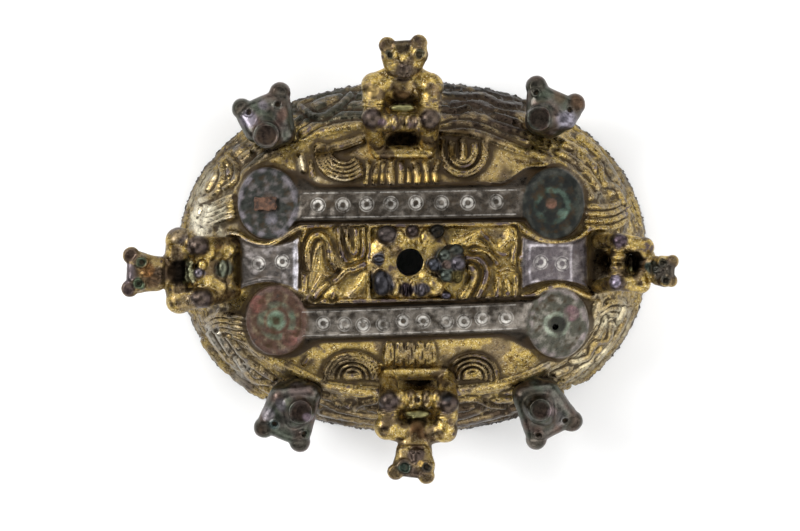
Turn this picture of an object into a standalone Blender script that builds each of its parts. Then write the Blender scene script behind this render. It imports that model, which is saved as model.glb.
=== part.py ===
"""Oval brooch of the Viking Age: a domed copper-alloy shell with cast bands, discs and
carved panels. Four bear heads sit on its diagonals, four seated beasts at the ends of
its axes and a fifth in the middle. All sizes are in millimetres until a mesh is written.

Plan positions are measured from the centre of the rim: +X to the right, +Y to the far
side, +Z up from the plane that the rim lies on."""

import math
from collections import namedtuple

import bmesh
import bpy
import numpy as np
from mathutils import Matrix, Vector

MM = 0.001

# Shell: plan of the rim and of the ridge between crown and skirt, and heights
RIM_LENGTH = 105.0
RIM_WIDTH = 78.4
RIM_POWER = 2.16
RIDGE_LENGTH = 82.6
RIDGE_WIDTH = 57.4
RIDGE_POWER = 2.4
RIDGE_HEIGHT = 19.5
CROWN_HEIGHT = 27.5
CROWN_POWER = 2.8
SKIRT_BULGE_OUT = 0.62
SKIRT_BULGE_UP = 0.72
WALL = 1.9
RIM_TRIM = 0.5
CROWN_SHARE = 0.62

# Cast ornament on the shell
BAND_FACE_HALF = 3.2
BAND_FOOT_HALF = 4.0
BAND_RISE = 2.0
BAND_ENDS = (-30.0, 31.0)
BAND_NORTH = (12.85, 0.016)
BAND_SOUTH = (-12.35, 0.036)
DISC_RADIUS = 7.4
DISC_EDGE = 0.6
DISC_RISE = 2.0
DISC_TILT = math.radians(14.0)
DISCS = {"nw": (-30.2, 12.8), "ne": (30.8, 12.8), "sw": (-28.4, -12.3), "se": (31.0, -13.0)}
STRAP_RISE = 1.5
STRAPS = {"west": (-37.5, -24.4), "east": (23.7, 38.2)}
MOULDING_RISE = 1.3
MOULDING_HALF = 0.85
BAR_RISE = 1.1
RIBBON_RISE = 1.1
RIDGE_RISE = 0.9

# Holes and underside
CENTRE_HOLE = ((-0.5, 0.3), 3.0)
DISC_HOLE = ((31.2, -14.0), 0.7)
RIVET_HOLE = ((-31.4, 13.1), 1.1)
LUG_THICKNESS = 1.8
LUG_SPACING = 6.0
LUG_END = 34.5
LUG_TOP = (22.8, 20.7)
PIN_HOLE_RADIUS = 1.1
CATCH_END = -35.5
CATCH_TOP = 21.3

# Clearance between a mount and the shell under it, and detail of the carved pieces
SEAT_GAP = 0.35
CARVING_VOXEL = 0.33
SHEET_STEPS = 240
LINING_STEPS = 14
SEAT_STEPS = 50
SHELL_FACES = 3400
BEAST_FACES = 500
CENTRE_FACES = 560
BEAR_FACES = 250

# Seated beasts: heights from the rim plane, then half-thicknesses at a bulk of 1
FOOT_HEIGHT = 21.0
KNEE_HEIGHT = 29.0
SHOULDER_HEIGHT = 27.5
CHEST_HEIGHT = 26.5
RUMP_HEIGHT = 15.5
HEAD_HEIGHT = 32.0
LEG = 2.6
KNEE = 2.9
ARM = 2.4
CUFF = 2.8
SHOULDER = 3.2
HAND = 2.0
TORSO = 3.1
NECK = 3.0
TEMPLE = 2.7
SNOUT = 2.3
EAR = 2.0
BROW = 2.3
EYE = 1.4

Beast = namedtuple(
    "Beast",
    "heading middle feet knees shoulders gap_end snout eyes ears knee_half shoulder_half "
    "head_middle ear_half eye_half bulk rump",
)

# Distances from the brooch centre along each beast's heading, half-widths across it, and
# the place of the rump. gap_end is the far side of the opening between hands and chest.
BEASTS = {
    "north": Beast(0, -1.9, 24.3, 31.4, 38.2, 35.0, 40.3, 44.8, 46.9, 6.1, 5.8, -1.5, 3.3, 3.0, 1.0, 31.0),
    "west": Beast(90, -1.7, 39.3, 45.4, 50.2, 51.2, 54.6, 58.1, 59.9, 5.3, 6.0, -1.6, 3.4, 2.3, 0.97, 45.5),
    "south": Beast(180, -1.3, 24.2, 29.5, 35.7, 33.9, 39.4, 42.7, 44.4, 6.3, 5.9, -0.4, 3.1, 2.4, 0.97, 30.0),
    "east": Beast(-90, -0.3, 40.9, 44.1, 48.6, 49.3, 51.6, 53.8, 54.9, 3.9, 3.8, 0.8, 2.2, 1.7, 0.8, 44.0),
}
SEAT_PAST_RUMP = 7.5

Bear = namedtuple("Bear", "left_ear right_ear muzzle foot")

# Bear heads: plan places of the ears, the nose and the foot of the neck
BEARS = {
    "nw": Bear((-37.3, 33.4), (-28.6, 36.8), (-31.2, 27.9), (-30.0, 24.8)),
    "ne": Bear((26.8, 38.4), (35.8, 34.3), (27.6, 31.2), (28.6, 27.0)),
    "sw": Bear((-24.0, -40.0), (-32.6, -37.0), (-24.6, -32.0), (-24.6, -28.4)),
    "se": Bear((35.4, -35.2), (27.0, -39.4), (28.0, -31.0), (28.0, -27.0)),
}
EAR_HEIGHT = 19.5
FACE_HEIGHT = 21.0
MUZZLE_TOP = 26.5
MUZZLE_RADIUS = 3.0
NECK_FOOT_HEIGHT = 12.0
BEAR_EAR = (2.3, 2.3, 1.9)
BEAR_EYE = 1.2
SKULL = 2.5
JAW = 2.9

# Beast in the centre square: flat body round the hole, low head beside it, then knobs by
# plan place, radius and height of the middle
CENTRE_BODY = (7.4, 6.6, 1.7)
CENTRE_BODY_HEIGHT = 28.2
CENTRE_HEAD = (4.2, 3.9, 2.0)
CENTRE_HEAD_MIDDLE = (7.8, 0.5, 29.8)
CENTRE_KNOBS = (
    (-6.2, 5.5, 2.4, 29.0),
    (-6.2, -4.9, 2.4, 29.0),
    (-7.2, 0.6, 1.6, 28.9),
    (-0.6, 6.0, 1.8, 28.9),
    (5.0, 6.3, 1.8, 28.9),
    (-1.4, -5.2, 1.6, 28.9),
    (1.9, -5.0, 1.5, 28.9),
    (5.6, -5.2, 1.7, 28.9),
)
CENTRE_FACE = (
    (4.6, 0.4, 1.6, 31.0),
    (6.8, 2.5, 1.4, 31.6),
    (7.4, -2.0, 1.5, 31.6),
    (9.8, 0.5, 1.8, 31.4),
)


def clear_scene():
    """Starts from an empty scene."""
    for old in list(bpy.data.objects):
        bpy.data.objects.remove(old, do_unlink=True)


def alloy(name, colour, roughness, metallic):
    """One Principled material for a node."""
    material = bpy.data.materials.new(name)
    material.use_nodes = True
    shader = material.node_tree.nodes["Principled BSDF"]
    shader.inputs["Base Color"].default_value = (*colour, 1.0)
    shader.inputs["Roughness"].default_value = roughness
    shader.inputs["Metallic"].default_value = metallic
    return material


def place(name, bm, parent, material=None):
    """Writes a bmesh modelled in millimetres as a named object under parent."""
    bmesh.ops.scale(bm, vec=(MM, MM, MM), verts=bm.verts)
    bmesh.ops.recalc_face_normals(bm, faces=bm.faces)
    mesh = bpy.data.meshes.new(name)
    bm.to_mesh(mesh)
    bm.free()
    mesh.shade_smooth()
    mesh.set_sharp_from_angle(angle=math.radians(40))
    thing = bpy.data.objects.new(name, mesh)
    bpy.context.scene.collection.objects.link(thing)
    thing.parent = parent
    if material:
        mesh.materials.append(material)
    else:
        thing.hide_render = True
        thing.display_type = "WIRE"
    return thing


def limit_faces(thing, faces):
    """Thins the mesh so far to about the given number of triangles."""
    graph = bpy.context.evaluated_depsgraph_get()
    evaluated = thing.evaluated_get(graph)
    mesh = evaluated.to_mesh()
    mesh.calc_loop_triangles()
    total = len(mesh.loop_triangles)
    evaluated.to_mesh_clear()
    thin = thing.modifiers.new("thin", "DECIMATE")
    thin.ratio = min(1.0, faces / total)
    thin.use_collapse_triangulate = True


def boolean(thing, other, operation):
    """Cuts or joins thing with other."""
    step = thing.modifiers.new(operation.lower() + "_" + other.name, "BOOLEAN")
    step.operation = operation
    step.solver = "EXACT"
    step.object = other


# Plain dome

def dome_points(across, along, inset=0.0):
    """Bends points of a square sheet, -1 to 1 each way, over the plain dome. inset is the
    depth below the outer face. Returns x, y, z and the station: 0 centre, 1 ridge, 2 rim."""
    disc_x = across * np.sqrt(1 - along**2 / 2)
    disc_y = along * np.sqrt(1 - across**2 / 2)
    reach = np.clip(np.hypot(disc_x, disc_y), 0.0, 1.0)
    heading = np.arctan2(disc_y, disc_x)
    turn_x, turn_y = np.cos(heading), np.sin(heading)
    station = np.where(
        reach < CROWN_SHARE,
        reach / CROWN_SHARE,
        1 + (reach - CROWN_SHARE) / (1 - CROWN_SHARE),
    )
    crown = np.minimum(station, 1.0)
    down = np.clip(station - 1.0, 0.0, 1.0)
    out = 2 * down * (1 - down) * SKIRT_BULGE_OUT + down**2
    up = (1 - down) ** 2 + 2 * down * (1 - down) * SKIRT_BULGE_UP
    ridge_x, ridge_y = RIDGE_LENGTH / 2 - 0.6 * inset, RIDGE_WIDTH / 2 - 0.6 * inset
    rim_x, rim_y = RIM_LENGTH / 2 - 1.04 * inset, RIM_WIDTH / 2 - 1.04 * inset
    half_x = crown * ridge_x + out * (rim_x - ridge_x)
    half_y = crown * ridge_y + out * (rim_y - ridge_y)
    power = RIDGE_POWER + out * (RIM_POWER - RIDGE_POWER)
    bulge = (np.abs(turn_x) ** power + np.abs(turn_y) ** power) ** (-1 / power)
    ridge_z = RIDGE_HEIGHT - 0.8 * inset
    rise = CROWN_HEIGHT - inset - ridge_z
    z_crown = ridge_z + rise * (1 - crown**CROWN_POWER)
    z_skirt = (ridge_z + RIM_TRIM) * up - RIM_TRIM
    z = np.where(station <= 1.0, z_crown, z_skirt)
    return half_x * bulge * turn_x, half_y * bulge * turn_y, z, station


# Ornament: heights above the plain dome, as functions of the place in plan

def fade(distance, inner, outer):
    """1 up to inner, 0 beyond outer, with a soft slope between."""
    t = np.clip((outer - distance) / (outer - inner), 0.0, 1.0)
    return t * t * (3 - 2 * t)


def bead(distance, half):
    """A rounded moulding, 1 on its middle line and 0 at half and beyond."""
    return np.sqrt(np.clip(1 - (distance / half) ** 2, 0.0, 1.0))


def curve_through(points, steps=6):
    """A smooth curve through a few plan points."""
    p = [np.array(q, float) for q in points]
    p = [2 * p[0] - p[1], *p, 2 * p[-1] - p[-2]]
    curve = []
    for a, b, c, d in zip(p, p[1:], p[2:], p[3:]):
        for t in np.linspace(0, 1, steps, endpoint=False):
            bend = 2 * b + (c - a) * t + (2 * a - 5 * b + 4 * c - d) * t**2
            curve.append(0.5 * (bend + (3 * b - a - 3 * c + d) * t**3))
    curve.append(p[-2])
    return curve


def line_distance(x, y, points):
    """Distance in plan to a chain of points."""
    nearest = np.full_like(x, 1e3)
    for (ax, ay), (bx, by) in zip(points, points[1:]):
        ux, uy = bx - ax, by - ay
        length = ux * ux + uy * uy
        t = np.clip(((x - ax) * ux + (y - ay) * uy) / length, 0.0, 1.0)
        nearest = np.minimum(nearest, np.hypot(x - ax - t * ux, y - ay - t * uy))
    return nearest


def arc(middle, radius, first, last, steps=10):
    """Points on part of a circle, by angles in degrees."""
    turns = np.radians(np.linspace(first, last, steps))
    return [(middle[0] + radius * math.cos(t), middle[1] + radius * math.sin(t)) for t in turns]


MOULDING_NORTH = (
    (-45.7, 5.8), (-38.2, 6.5), (-34.9, 5.0), (-31.7, 4.7), (-28.7, 5.6), (-22.0, 8.0),
    (-11.2, 8.2), (1.8, 8.4), (14.7, 8.4), (20.8, 8.2), (25.5, 6.0), (29.2, 4.7),
    (32.5, 4.5), (35.7, 5.4), (38.1, 7.3),
)
MOULDING_SOUTH = (
    (-36.4, -6.1), (-33.6, -4.5), (-30.6, -3.9), (-27.6, -4.3), (-24.6, -6.1),
    (-21.5, -7.8), (-11.2, -8.0), (1.8, -8.0), (12.6, -8.0), (22.1, -8.0), (25.5, -6.7),
    (29.0, -5.6), (32.2, -5.2), (35.5, -5.8), (38.5, -7.4), (42.0, -7.6),
)
PANEL_BARS = (-23.4, -9.1, 22.7)
PANEL_RIBBONS = (
    ((-15.0, 7.6), (-14.4, 4.4), (-12.9, 2.5), (-11.1, 3.3), (-10.7, 5.9), (-11.6, 7.8)),
    ((-21.9, 2.5), (-21.0, 5.5), (-19.3, 6.3), (-17.8, 5.0), (-17.4, 1.8), (-15.4, -1.0), (-10.3, 0.3)),
    ((-22.1, -5.7), (-20.6, -3.8), (-19.3, -2.7)),
    ((-22.3, -1.0), (-21.0, 1.6), (-19.7, 2.9)),
    ((-12.9, -7.0), (-11.1, -5.3), (-10.1, -3.1)),
    ((12.6, 1.6), (14.7, 0.3), (15.6, -1.8), (15.1, -4.4), (13.8, -7.0)),
    ((14.3, 2.9), (16.9, 1.6), (18.4, -1.0), (18.4, -4.4), (17.5, -7.0)),
    ((12.1, 7.2), (14.7, 6.3), (16.4, 4.4), (18.4, 3.3), (21.2, 2.9)),
)
HIP_MIDDLES = (
    (-16.1, 24.0, 60, 390),
    (10.4, 24.4, 150, 395),
    (-13.3, -24.2, -20, 200),
    (14.3, -23.8, -20, 200),
)
HIP_RADII = (2.0, 3.7, 5.4)
PETALS = ((-1.9, 19.6, 1), (-0.4, -19.4, -1))
SKIRT_FANS = (
    ((-46.4, 10.4), (-42.6, 12.2), (-38.4, 14.0)),
    ((38.9, 12.4), (42.5, 12.2), (45.3, 11.2)),
    ((-45.0, -13.6), (-41.9, -12.6), (-37.4, -12.6)),
    ((41.6, -12.4), (44.0, -12.8), (46.0, -13.4)),
)
FAN_SPREAD = 1.7
SKIRT_SCROLLS = (
    ((-40.5, 19.5), (-37.5, 24.0), (-33.5, 22.6), (-34.5, 19.0), (-37.8, 18.4)),
    ((-22.0, 31.0), (-17.0, 33.5), (-12.5, 31.0)),
    ((-24.0, 34.0), (-17.5, 30.8), (-12.0, 33.8)),
    ((8.0, 31.6), (15.0, 33.0), (23.0, 30.0)),
    ((9.0, 34.6), (16.0, 35.6), (23.0, 33.2)),
    ((33.5, 24.5), (37.0, 21.5), (40.5, 20.0), (41.0, 16.5)),
    ((36.0, 25.5), (40.0, 23.0), (43.5, 18.5)),
    ((-44.0, -17.0), (-39.0, -22.0), (-33.0, -26.2)),
    ((-46.5, -18.0), (-41.0, -23.6), (-35.0, -28.6)),
    ((-19.0, -31.0), (-13.5, -33.6), (-8.5, -31.0)),
    ((-19.0, -34.6), (-13.5, -31.4), (-8.5, -34.6)),
    ((11.5, -33.8), (16.5, -31.0), (22.0, -33.2)),
    ((35.0, -21.5), (39.0, -18.5), (42.5, -16.5)),
    ((37.0, -24.5), (41.5, -21.0), (45.5, -17.0)),
)


def disc_top(x, y, middle):
    """Height of a disc's flat face, which leans outward with the crown."""
    reach = math.hypot(*middle)
    out_x, out_y = middle[0] / reach, middle[1] / reach
    outward = (x - middle[0]) * out_x + (y - middle[1]) * out_y
    return disc_level(middle) - math.tan(DISC_TILT) * outward


def disc_level(middle):
    """Height of a disc's middle: the crown there plus the disc's own rise."""
    share = (abs(2 * middle[0] / RIDGE_LENGTH) ** RIDGE_POWER
             + abs(2 * middle[1] / RIDGE_WIDTH) ** RIDGE_POWER) ** (1 / RIDGE_POWER)
    return RIDGE_HEIGHT + (CROWN_HEIGHT - RIDGE_HEIGHT) * (1 - share**CROWN_POWER) + DISC_RISE


def seat_mask(x, y):
    """1 where the cast ornament stays, 0 on the plain seats under the mounts."""
    keep = 1 - fade(np.abs(x + 0.8), 8.2, 8.8) * fade(np.abs(y - 0.2), 7.0, 7.5)
    for beast in BEASTS.values():
        turn = math.radians(beast.heading)
        side = x * math.cos(turn) + y * math.sin(turn) - beast.middle
        outward = -x * math.sin(turn) + y * math.cos(turn)
        width = beast.knee_half + 2.2
        middle = (beast.feet - 2.8 + beast.rump + SEAT_PAST_RUMP) / 2
        reach = beast.rump + SEAT_PAST_RUMP - middle
        seat = fade(np.abs(side), width, width + 0.8) * fade(np.abs(outward - middle), reach, reach + 0.6)
        keep *= 1 - seat
    for bear in BEARS.values():
        keep *= 1 - fade(np.hypot(x - bear.foot[0], y - bear.foot[1]), 5.0, 6.0)
    return keep


def carved_relief(x, y, station):
    """The gilded fields: mouldings, bars, panel animals, hip rings, petals and the skirt."""
    height = np.zeros_like(x)
    for path in (MOULDING_NORTH, MOULDING_SOUTH):
        away = line_distance(x, y, curve_through(path))
        height = np.maximum(height, MOULDING_RISE * bead(away, MOULDING_HALF))
    for bar in PANEL_BARS:
        inside = fade(np.abs(y), 7.4, 7.9)
        height = np.maximum(height, BAR_RISE * bead(np.abs(x - bar), 0.7) * inside)
    for ribbon in PANEL_RIBBONS:
        height = np.maximum(height, RIBBON_RISE * bead(line_distance(x, y, curve_through(ribbon)), 0.8))
    for middle_x, middle_y, first, last in HIP_MIDDLES:
        for radius in HIP_RADII:
            ring = arc((middle_x, middle_y), radius, first, last)
            height = np.maximum(height, RIBBON_RISE * bead(line_distance(x, y, ring), 0.6))
    for middle_x, middle_y, way in PETALS:
        for step in (-1, 0, 1):
            foot = (middle_x + 2.2 * step, middle_y + 2.4 * way)
            tip = (middle_x + 1.4 * step, middle_y - 2.4 * way)
            height = np.maximum(height, RIBBON_RISE * bead(line_distance(x, y, [foot, tip]), 0.9))
    height = height * fade(station, 0.97, 1.0)
    height = np.maximum(height, RIDGE_RISE * bead(np.abs(station - 1.0), 0.05))
    for fan in SKIRT_FANS:
        for step in (-1, 0, 1):
            line = [(px, py + step * FAN_SPREAD) for px, py in fan]
            height = np.maximum(height, 0.7 * bead(line_distance(x, y, curve_through(line)), 0.7))
    for scroll in SKIRT_SCROLLS:
        height = np.maximum(height, 0.8 * bead(line_distance(x, y, curve_through(scroll)), 0.8))
    return np.maximum(height, 0.7 * bead(np.abs(station - 1.9), 0.06))


def relief(x, y, z, station):
    """Height of all cast ornament above the plain dome."""
    height = carved_relief(x, y, station)
    for name, (inner, outer) in STRAPS.items():
        sign = -1 if name == "west" else 1
        middle = (inner + outer) / 2
        waist = 3.9 + 1.5 * ((x - middle) / 6.3) ** 2
        plate = fade(np.abs(x - middle), (outer - inner) / 2, (outer - inner) / 2 + 0.7)
        plate = plate * fade(np.abs(y + 0.2 * sign), waist - 0.2, waist + 0.4)
        height = np.maximum(height, STRAP_RISE * plate)
    for level, slope in (BAND_NORTH, BAND_SOUTH):
        off = np.abs(y - level - slope * x)
        band = fade(off, BAND_FACE_HALF, BAND_FOOT_HALF) * (x > BAND_ENDS[0]) * (x < BAND_ENDS[1])
        height = np.maximum(height, BAND_RISE * band)
    height = height * seat_mask(x, y)
    for middle in DISCS.values():
        away = np.hypot(x - middle[0], y - middle[1])
        inside = fade(away, DISC_RADIUS - DISC_EDGE, DISC_RADIUS)
        height = height + (disc_top(x, y, middle) - z - height) * inside
    return height


# Shell

def dome_sheet(bm, steps, inset=0.0, lift=0.0, carve=False):
    """A square grid bent over the dome. Returns its border edges."""
    sheet = bmesh.ops.create_grid(bm, x_segments=steps, y_segments=steps, size=1.0)
    verts = sheet["verts"]
    flat = np.array([v.co for v in verts])
    x, y, z, station = dome_points(flat[:, 0], flat[:, 1], inset)
    for vert, place_in_sheet in zip(verts, zip(x, y, z)):
        vert.co = place_in_sheet
    faces = {face for vert in verts for face in vert.link_faces}
    if carve or lift:
        bmesh.ops.recalc_face_normals(bm, faces=list(faces))
        bm.normal_update()
        normals = np.array([v.normal for v in verts])
        normals *= np.sign(normals[:, 2:3])
        if carve:
            rise = relief(x, y, z, station)[:, None]
            upright = fade(station, 0.96, 1.04)[:, None]
            way = upright * np.array([0.0, 0.0, 1.0]) + (1 - upright) * normals
            move = rise * way / np.linalg.norm(way, axis=1)[:, None]
        else:
            move = lift * normals
        for vert, step in zip(verts, move):
            vert.co += Vector(step)
    edges = {edge for face in faces for edge in face.edges}
    return [edge for edge in edges if edge.is_boundary]


def shell_blank():
    """The carved outer face of the bowl, closed flat just below the rim plane."""
    bm = bmesh.new()
    border = dome_sheet(bm, SHEET_STEPS, carve=True)
    bmesh.ops.edgeloop_fill(bm, edges=border)
    return bm


def lining_blank():
    """The hollow of the bowl: the plain dome, one wall smaller, running out below the rim."""
    bm = bmesh.new()
    border = dome_sheet(bm, LINING_STEPS, inset=WALL)
    lowered = bmesh.ops.extrude_edge_only(bm, edges=border)["geom"]
    verts = [part for part in lowered if isinstance(part, bmesh.types.BMVert)]
    edges = [part for part in lowered if isinstance(part, bmesh.types.BMEdge)]
    bmesh.ops.translate(bm, vec=(0, 0, -3.0), verts=verts)
    bmesh.ops.edgeloop_fill(bm, edges=[edge for edge in edges if edge.is_boundary])
    return bm


def seat_blank():
    """The plain dome, lifted by the seat gap and closed below, which seats the mounts."""
    bm = bmesh.new()
    border = dome_sheet(bm, SEAT_STEPS, lift=SEAT_GAP)
    bmesh.ops.edgeloop_fill(bm, edges=border)
    return bm


def rod(bm, form, length, start_radius, end_radius, segments=32):
    """A capped cylinder or cone along the Z axis of form, about its middle."""
    bmesh.ops.create_cone(
        bm,
        cap_ends=True,
        segments=segments,
        radius1=start_radius,
        radius2=end_radius,
        depth=length,
        matrix=form,
    )


def peg(bm, middle, radius, low, high, segments=32):
    """An upright cylinder."""
    rod(bm, Matrix.Translation((*middle, (low + high) / 2)), high - low, radius, radius, segments)


def block(bm, low, high):
    """A box between two corners."""
    size = Vector(high) - Vector(low)
    middle = (Vector(high) + Vector(low)) / 2
    bmesh.ops.create_cube(bm, size=1.0, matrix=Matrix.Translation(middle) @ Matrix.Diagonal((*size, 1.0)))


def pin_lug(side):
    """One of the two ears under the right end that held the pin, with a rounded foot."""
    bm = bmesh.new()
    y = side * LUG_SPACING / 2
    low, high = y - LUG_THICKNESS / 2, y + LUG_THICKNESS / 2
    block(bm, (LUG_END - 3.5, low, 8.0), (LUG_END + 2.5, high, LUG_TOP[1]))
    for vert in bm.verts:
        if vert.co.z > 9 and vert.co.x < LUG_END:
            vert.co.z = LUG_TOP[0]
    for edge in [e for e in bm.edges if all(v.co.z < 9 for v in e.verts)]:
        edge.tag = abs(edge.verts[0].co.x - edge.verts[1].co.x) < 0.1
    corners = [e for e in bm.edges if e.tag]
    bmesh.ops.bevel(bm, geom=corners, offset=2.6, segments=4, profile=0.5, affect="EDGES", material=-1)
    return bm


def catch_plate():
    """The catch under the left end: a plate that stands down and turns back as a hook."""
    bm = bmesh.new()
    block(bm, (CATCH_END - 1.0, -4.5, 6.5), (CATCH_END + 1.0, 4.5, CATCH_TOP))
    return bm


def catch_hook():
    """The turned foot of the catch plate."""
    bm = bmesh.new()
    block(bm, (CATCH_END - 0.9, -4.4, 6.6), (CATCH_END + 4.2, 4.4, 8.4))
    return bm


def rim_bite():
    """Outline of the piece broken from the rim near the lower right bear head."""
    bm = bmesh.new()
    outline = ((-3.1, -2.0), (-2.6, 2.1), (-1.2, 3.9), (0.6, 4.6), (2.0, 2.9), (3.3, 1.2), (3.7, -2.0))
    outer = [bm.verts.new((along, 6.0, up)) for along, up in outline]
    face = bm.faces.new(outer)
    moved = bmesh.ops.extrude_face_region(bm, geom=[face])["geom"]
    verts = [part for part in moved if isinstance(part, bmesh.types.BMVert)]
    bmesh.ops.translate(bm, vec=(0, -12.0, 0), verts=verts)
    turn = Matrix.Rotation(math.radians(38.0), 4, "Z")
    bmesh.ops.transform(bm, matrix=Matrix.Translation((36.2, -29.8, 0)) @ turn, verts=bm.verts)
    return bm


def make_shell(root):
    """The hollow bowl with its ornament, holes, pin lugs and catch."""
    gilt = alloy("gilded_bronze", (0.42, 0.31, 0.12), 0.42, 0.9)
    shell = place("shell", shell_blank(), root, gilt)
    limit_faces(shell, SHELL_FACES)
    trim = bmesh.new()
    block(trim, (-70, -60, -6), (70, 60, 0))
    cuts = [place("lining", lining_blank(), root), place("rim_trim", trim, root)]
    for name, (middle, radius) in (("centre", CENTRE_HOLE), ("disc", DISC_HOLE), ("rivet", RIVET_HOLE)):
        drill = bmesh.new()
        peg(drill, middle, radius, 12.0, 34.0)
        cuts.append(place(name + "_drill", drill, root))
    cuts.append(place("rim_bite", rim_bite(), root))
    for cut in cuts:
        boolean(shell, cut, "DIFFERENCE")
    joined = [place("lug_far", pin_lug(1), root), place("lug_near", pin_lug(-1), root)]
    joined += [place("catch_plate", catch_plate(), root), place("catch_hook", catch_hook(), root)]
    for extra in joined:
        boolean(shell, extra, "UNION")
    pin_hole = bmesh.new()
    turn = Matrix.Translation((LUG_END - 0.5, 0, 11.0)) @ Matrix.Rotation(math.radians(90), 4, "X")
    rod(pin_hole, turn, 14.0, PIN_HOLE_RADIUS, PIN_HOLE_RADIUS, segments=20)
    boolean(shell, place("pin_drill", pin_hole, root), "DIFFERENCE")
    return shell


# Carved mounts: rounded blanks that a fine remesh melts into one casting

def ball(bm, centre, radii):
    """An ellipsoid; one radius gives a sphere."""
    if not isinstance(radii, tuple):
        radii = (radii, radii, radii)
    form = Matrix.Translation(centre) @ Matrix.Diagonal((*radii, 1.0))
    bmesh.ops.create_icosphere(bm, subdivisions=3, radius=1.0, matrix=form)


def limb(bm, start, end, start_radius, end_radius, round_end=True):
    """A tapering limb between two points."""
    start, end = Vector(start), Vector(end)
    axis = end - start
    form = Matrix.Translation((start + end) / 2) @ axis.to_track_quat("Z", "Y").to_matrix().to_4x4()
    rod(bm, form, axis.length, start_radius, end_radius)
    ball(bm, start, start_radius)
    if round_end:
        ball(bm, end, end_radius)


def cast_piece(name, bm, root, material, faces, seat):
    """Melts a blank into one closed casting, thins it and seats it on the shell."""
    piece = place(name, bm, root, material)
    melt = piece.modifiers.new("melt", "REMESH")
    melt.mode = "VOXEL"
    melt.voxel_size = CARVING_VOXEL * MM
    soften = piece.modifiers.new("soften", "SMOOTH")
    soften.factor = 0.5
    soften.iterations = 2
    limit_faces(piece, faces)
    boolean(piece, seat, "DIFFERENCE")
    return piece


def between(start, end, share):
    """The point at a share of the way from start to end."""
    return tuple(a + share * (b - a) for a, b in zip(start, end))


def beast_limbs(bm, b):
    """Legs, hands on the knees, and arms with cuffs up to the shoulders."""
    k = b.bulk
    fists = []
    for side in (-1, 1):
        knee = (b.middle + side * b.knee_half, b.knees, KNEE_HEIGHT)
        foot = (b.middle + side * b.knee_half, b.feet, FOOT_HEIGHT)
        shoulder = (b.middle + side * b.shoulder_half, b.shoulders, SHOULDER_HEIGHT)
        limb(bm, foot, knee, LEG * k, LEG * k)
        ball(bm, knee, KNEE * k)
        limb(bm, knee, shoulder, ARM * k, SHOULDER * k)
        limb(bm, between(knee, shoulder, 0.42), between(knee, shoulder, 0.62), CUFF * k, CUFF * k)
        fists.append((b.middle + side * 0.42 * b.knee_half, b.knees - 0.4, KNEE_HEIGHT - 0.4))
        limb(bm, knee, fists[-1], HAND * k, (HAND + 0.3) * k)
    limb(bm, fists[0], fists[1], HAND * k, HAND * k)


def beast_trunk(bm, b):
    """Chest between the shoulders, and a torso that leans in to the rump on the skirt."""
    k = b.bulk
    chest = b.gap_end + (TORSO - 0.3) * k
    ball(bm, (b.middle, chest, CHEST_HEIGHT), (b.shoulder_half + 0.5, TORSO * k, TORSO * k))
    for side in (-1, 0, 1):
        top = (b.middle + side * 2.6 * k, chest, CHEST_HEIGHT)
        rump = (b.middle + side * 2.2 * k, b.rump, RUMP_HEIGHT)
        limb(bm, top, rump, TORSO * k, (TORSO + 0.8) * k)


def beast_head(bm, b):
    """A wedge head that looks up: snout towards the chest, ears at the outer end."""
    k = b.bulk
    neck = (b.middle, b.gap_end + NECK * k, SHOULDER_HEIGHT)
    nape = (b.head_middle, b.snout + 2.4 * k, HEAD_HEIGHT - 1.6)
    limb(bm, neck, nape, (NECK + 0.4) * k, NECK * k)
    brow = [(b.head_middle + side * 0.6 * b.ear_half, b.eyes + 0.4, HEAD_HEIGHT + 0.3) for side in (-1, 1)]
    limb(bm, brow[0], brow[1], BROW * k, BROW * k)
    for side in (-1, 1):
        temple = (b.head_middle + side * b.eye_half * 0.8, b.eyes, HEAD_HEIGHT)
        nostril = (b.head_middle + side * 0.5 * k, b.snout + 1.6 * k, HEAD_HEIGHT + 0.3)
        limb(bm, temple, nostril, TEMPLE * k, SNOUT * k)
        ear = (b.head_middle + side * b.ear_half, b.ears, HEAD_HEIGHT + 0.2)
        limb(bm, temple, ear, TEMPLE * k, EAR * k)
        eye = (b.head_middle + side * b.eye_half, b.eyes - 0.4, HEAD_HEIGHT + TEMPLE * k - 0.5)
        ball(bm, eye, EYE * k)


def make_beasts(root, seat):
    """The four seated beasts at the ends of the two axes."""
    bronze = alloy("gilded_bronze_worn", (0.33, 0.25, 0.12), 0.45, 0.85)
    for name, beast in BEASTS.items():
        bm = bmesh.new()
        beast_limbs(bm, beast)
        beast_trunk(bm, beast)
        beast_head(bm, beast)
        turn = Matrix.Rotation(math.radians(beast.heading), 4, "Z")
        bmesh.ops.transform(bm, matrix=turn, verts=bm.verts)
        cast_piece("seated_beast_" + name, bm, root, bronze, BEAST_FACES, seat)


def make_centre_beast(root, seat):
    """The low beast round the centre hole, with knobs for its joints and its face."""
    bronze = alloy("gilded_bronze_centre", (0.35, 0.27, 0.13), 0.45, 0.85)
    bm = bmesh.new()
    hole, radius = CENTRE_HOLE
    ball(bm, (*hole, CENTRE_BODY_HEIGHT), CENTRE_BODY)
    for x, y, size, height in CENTRE_KNOBS:
        ball(bm, (x, y, height), size)
        inner = between((*hole, CENTRE_BODY_HEIGHT), (x, y, CENTRE_BODY_HEIGHT), 0.62)
        limb(bm, inner, (x, y, CENTRE_BODY_HEIGHT), 0.9 * size, 0.8 * size)
    ball(bm, CENTRE_HEAD_MIDDLE, CENTRE_HEAD)
    for x, y, size, height in CENTRE_FACE:
        ball(bm, (x, y, height), size)
    piece = cast_piece("seated_beast_centre", bm, root, bronze, CENTRE_FACES, seat)
    drill = bmesh.new()
    peg(drill, hole, radius, 20.0, 40.0, segments=20)
    boolean(piece, place("beast_drill", drill, root), "DIFFERENCE")


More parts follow.
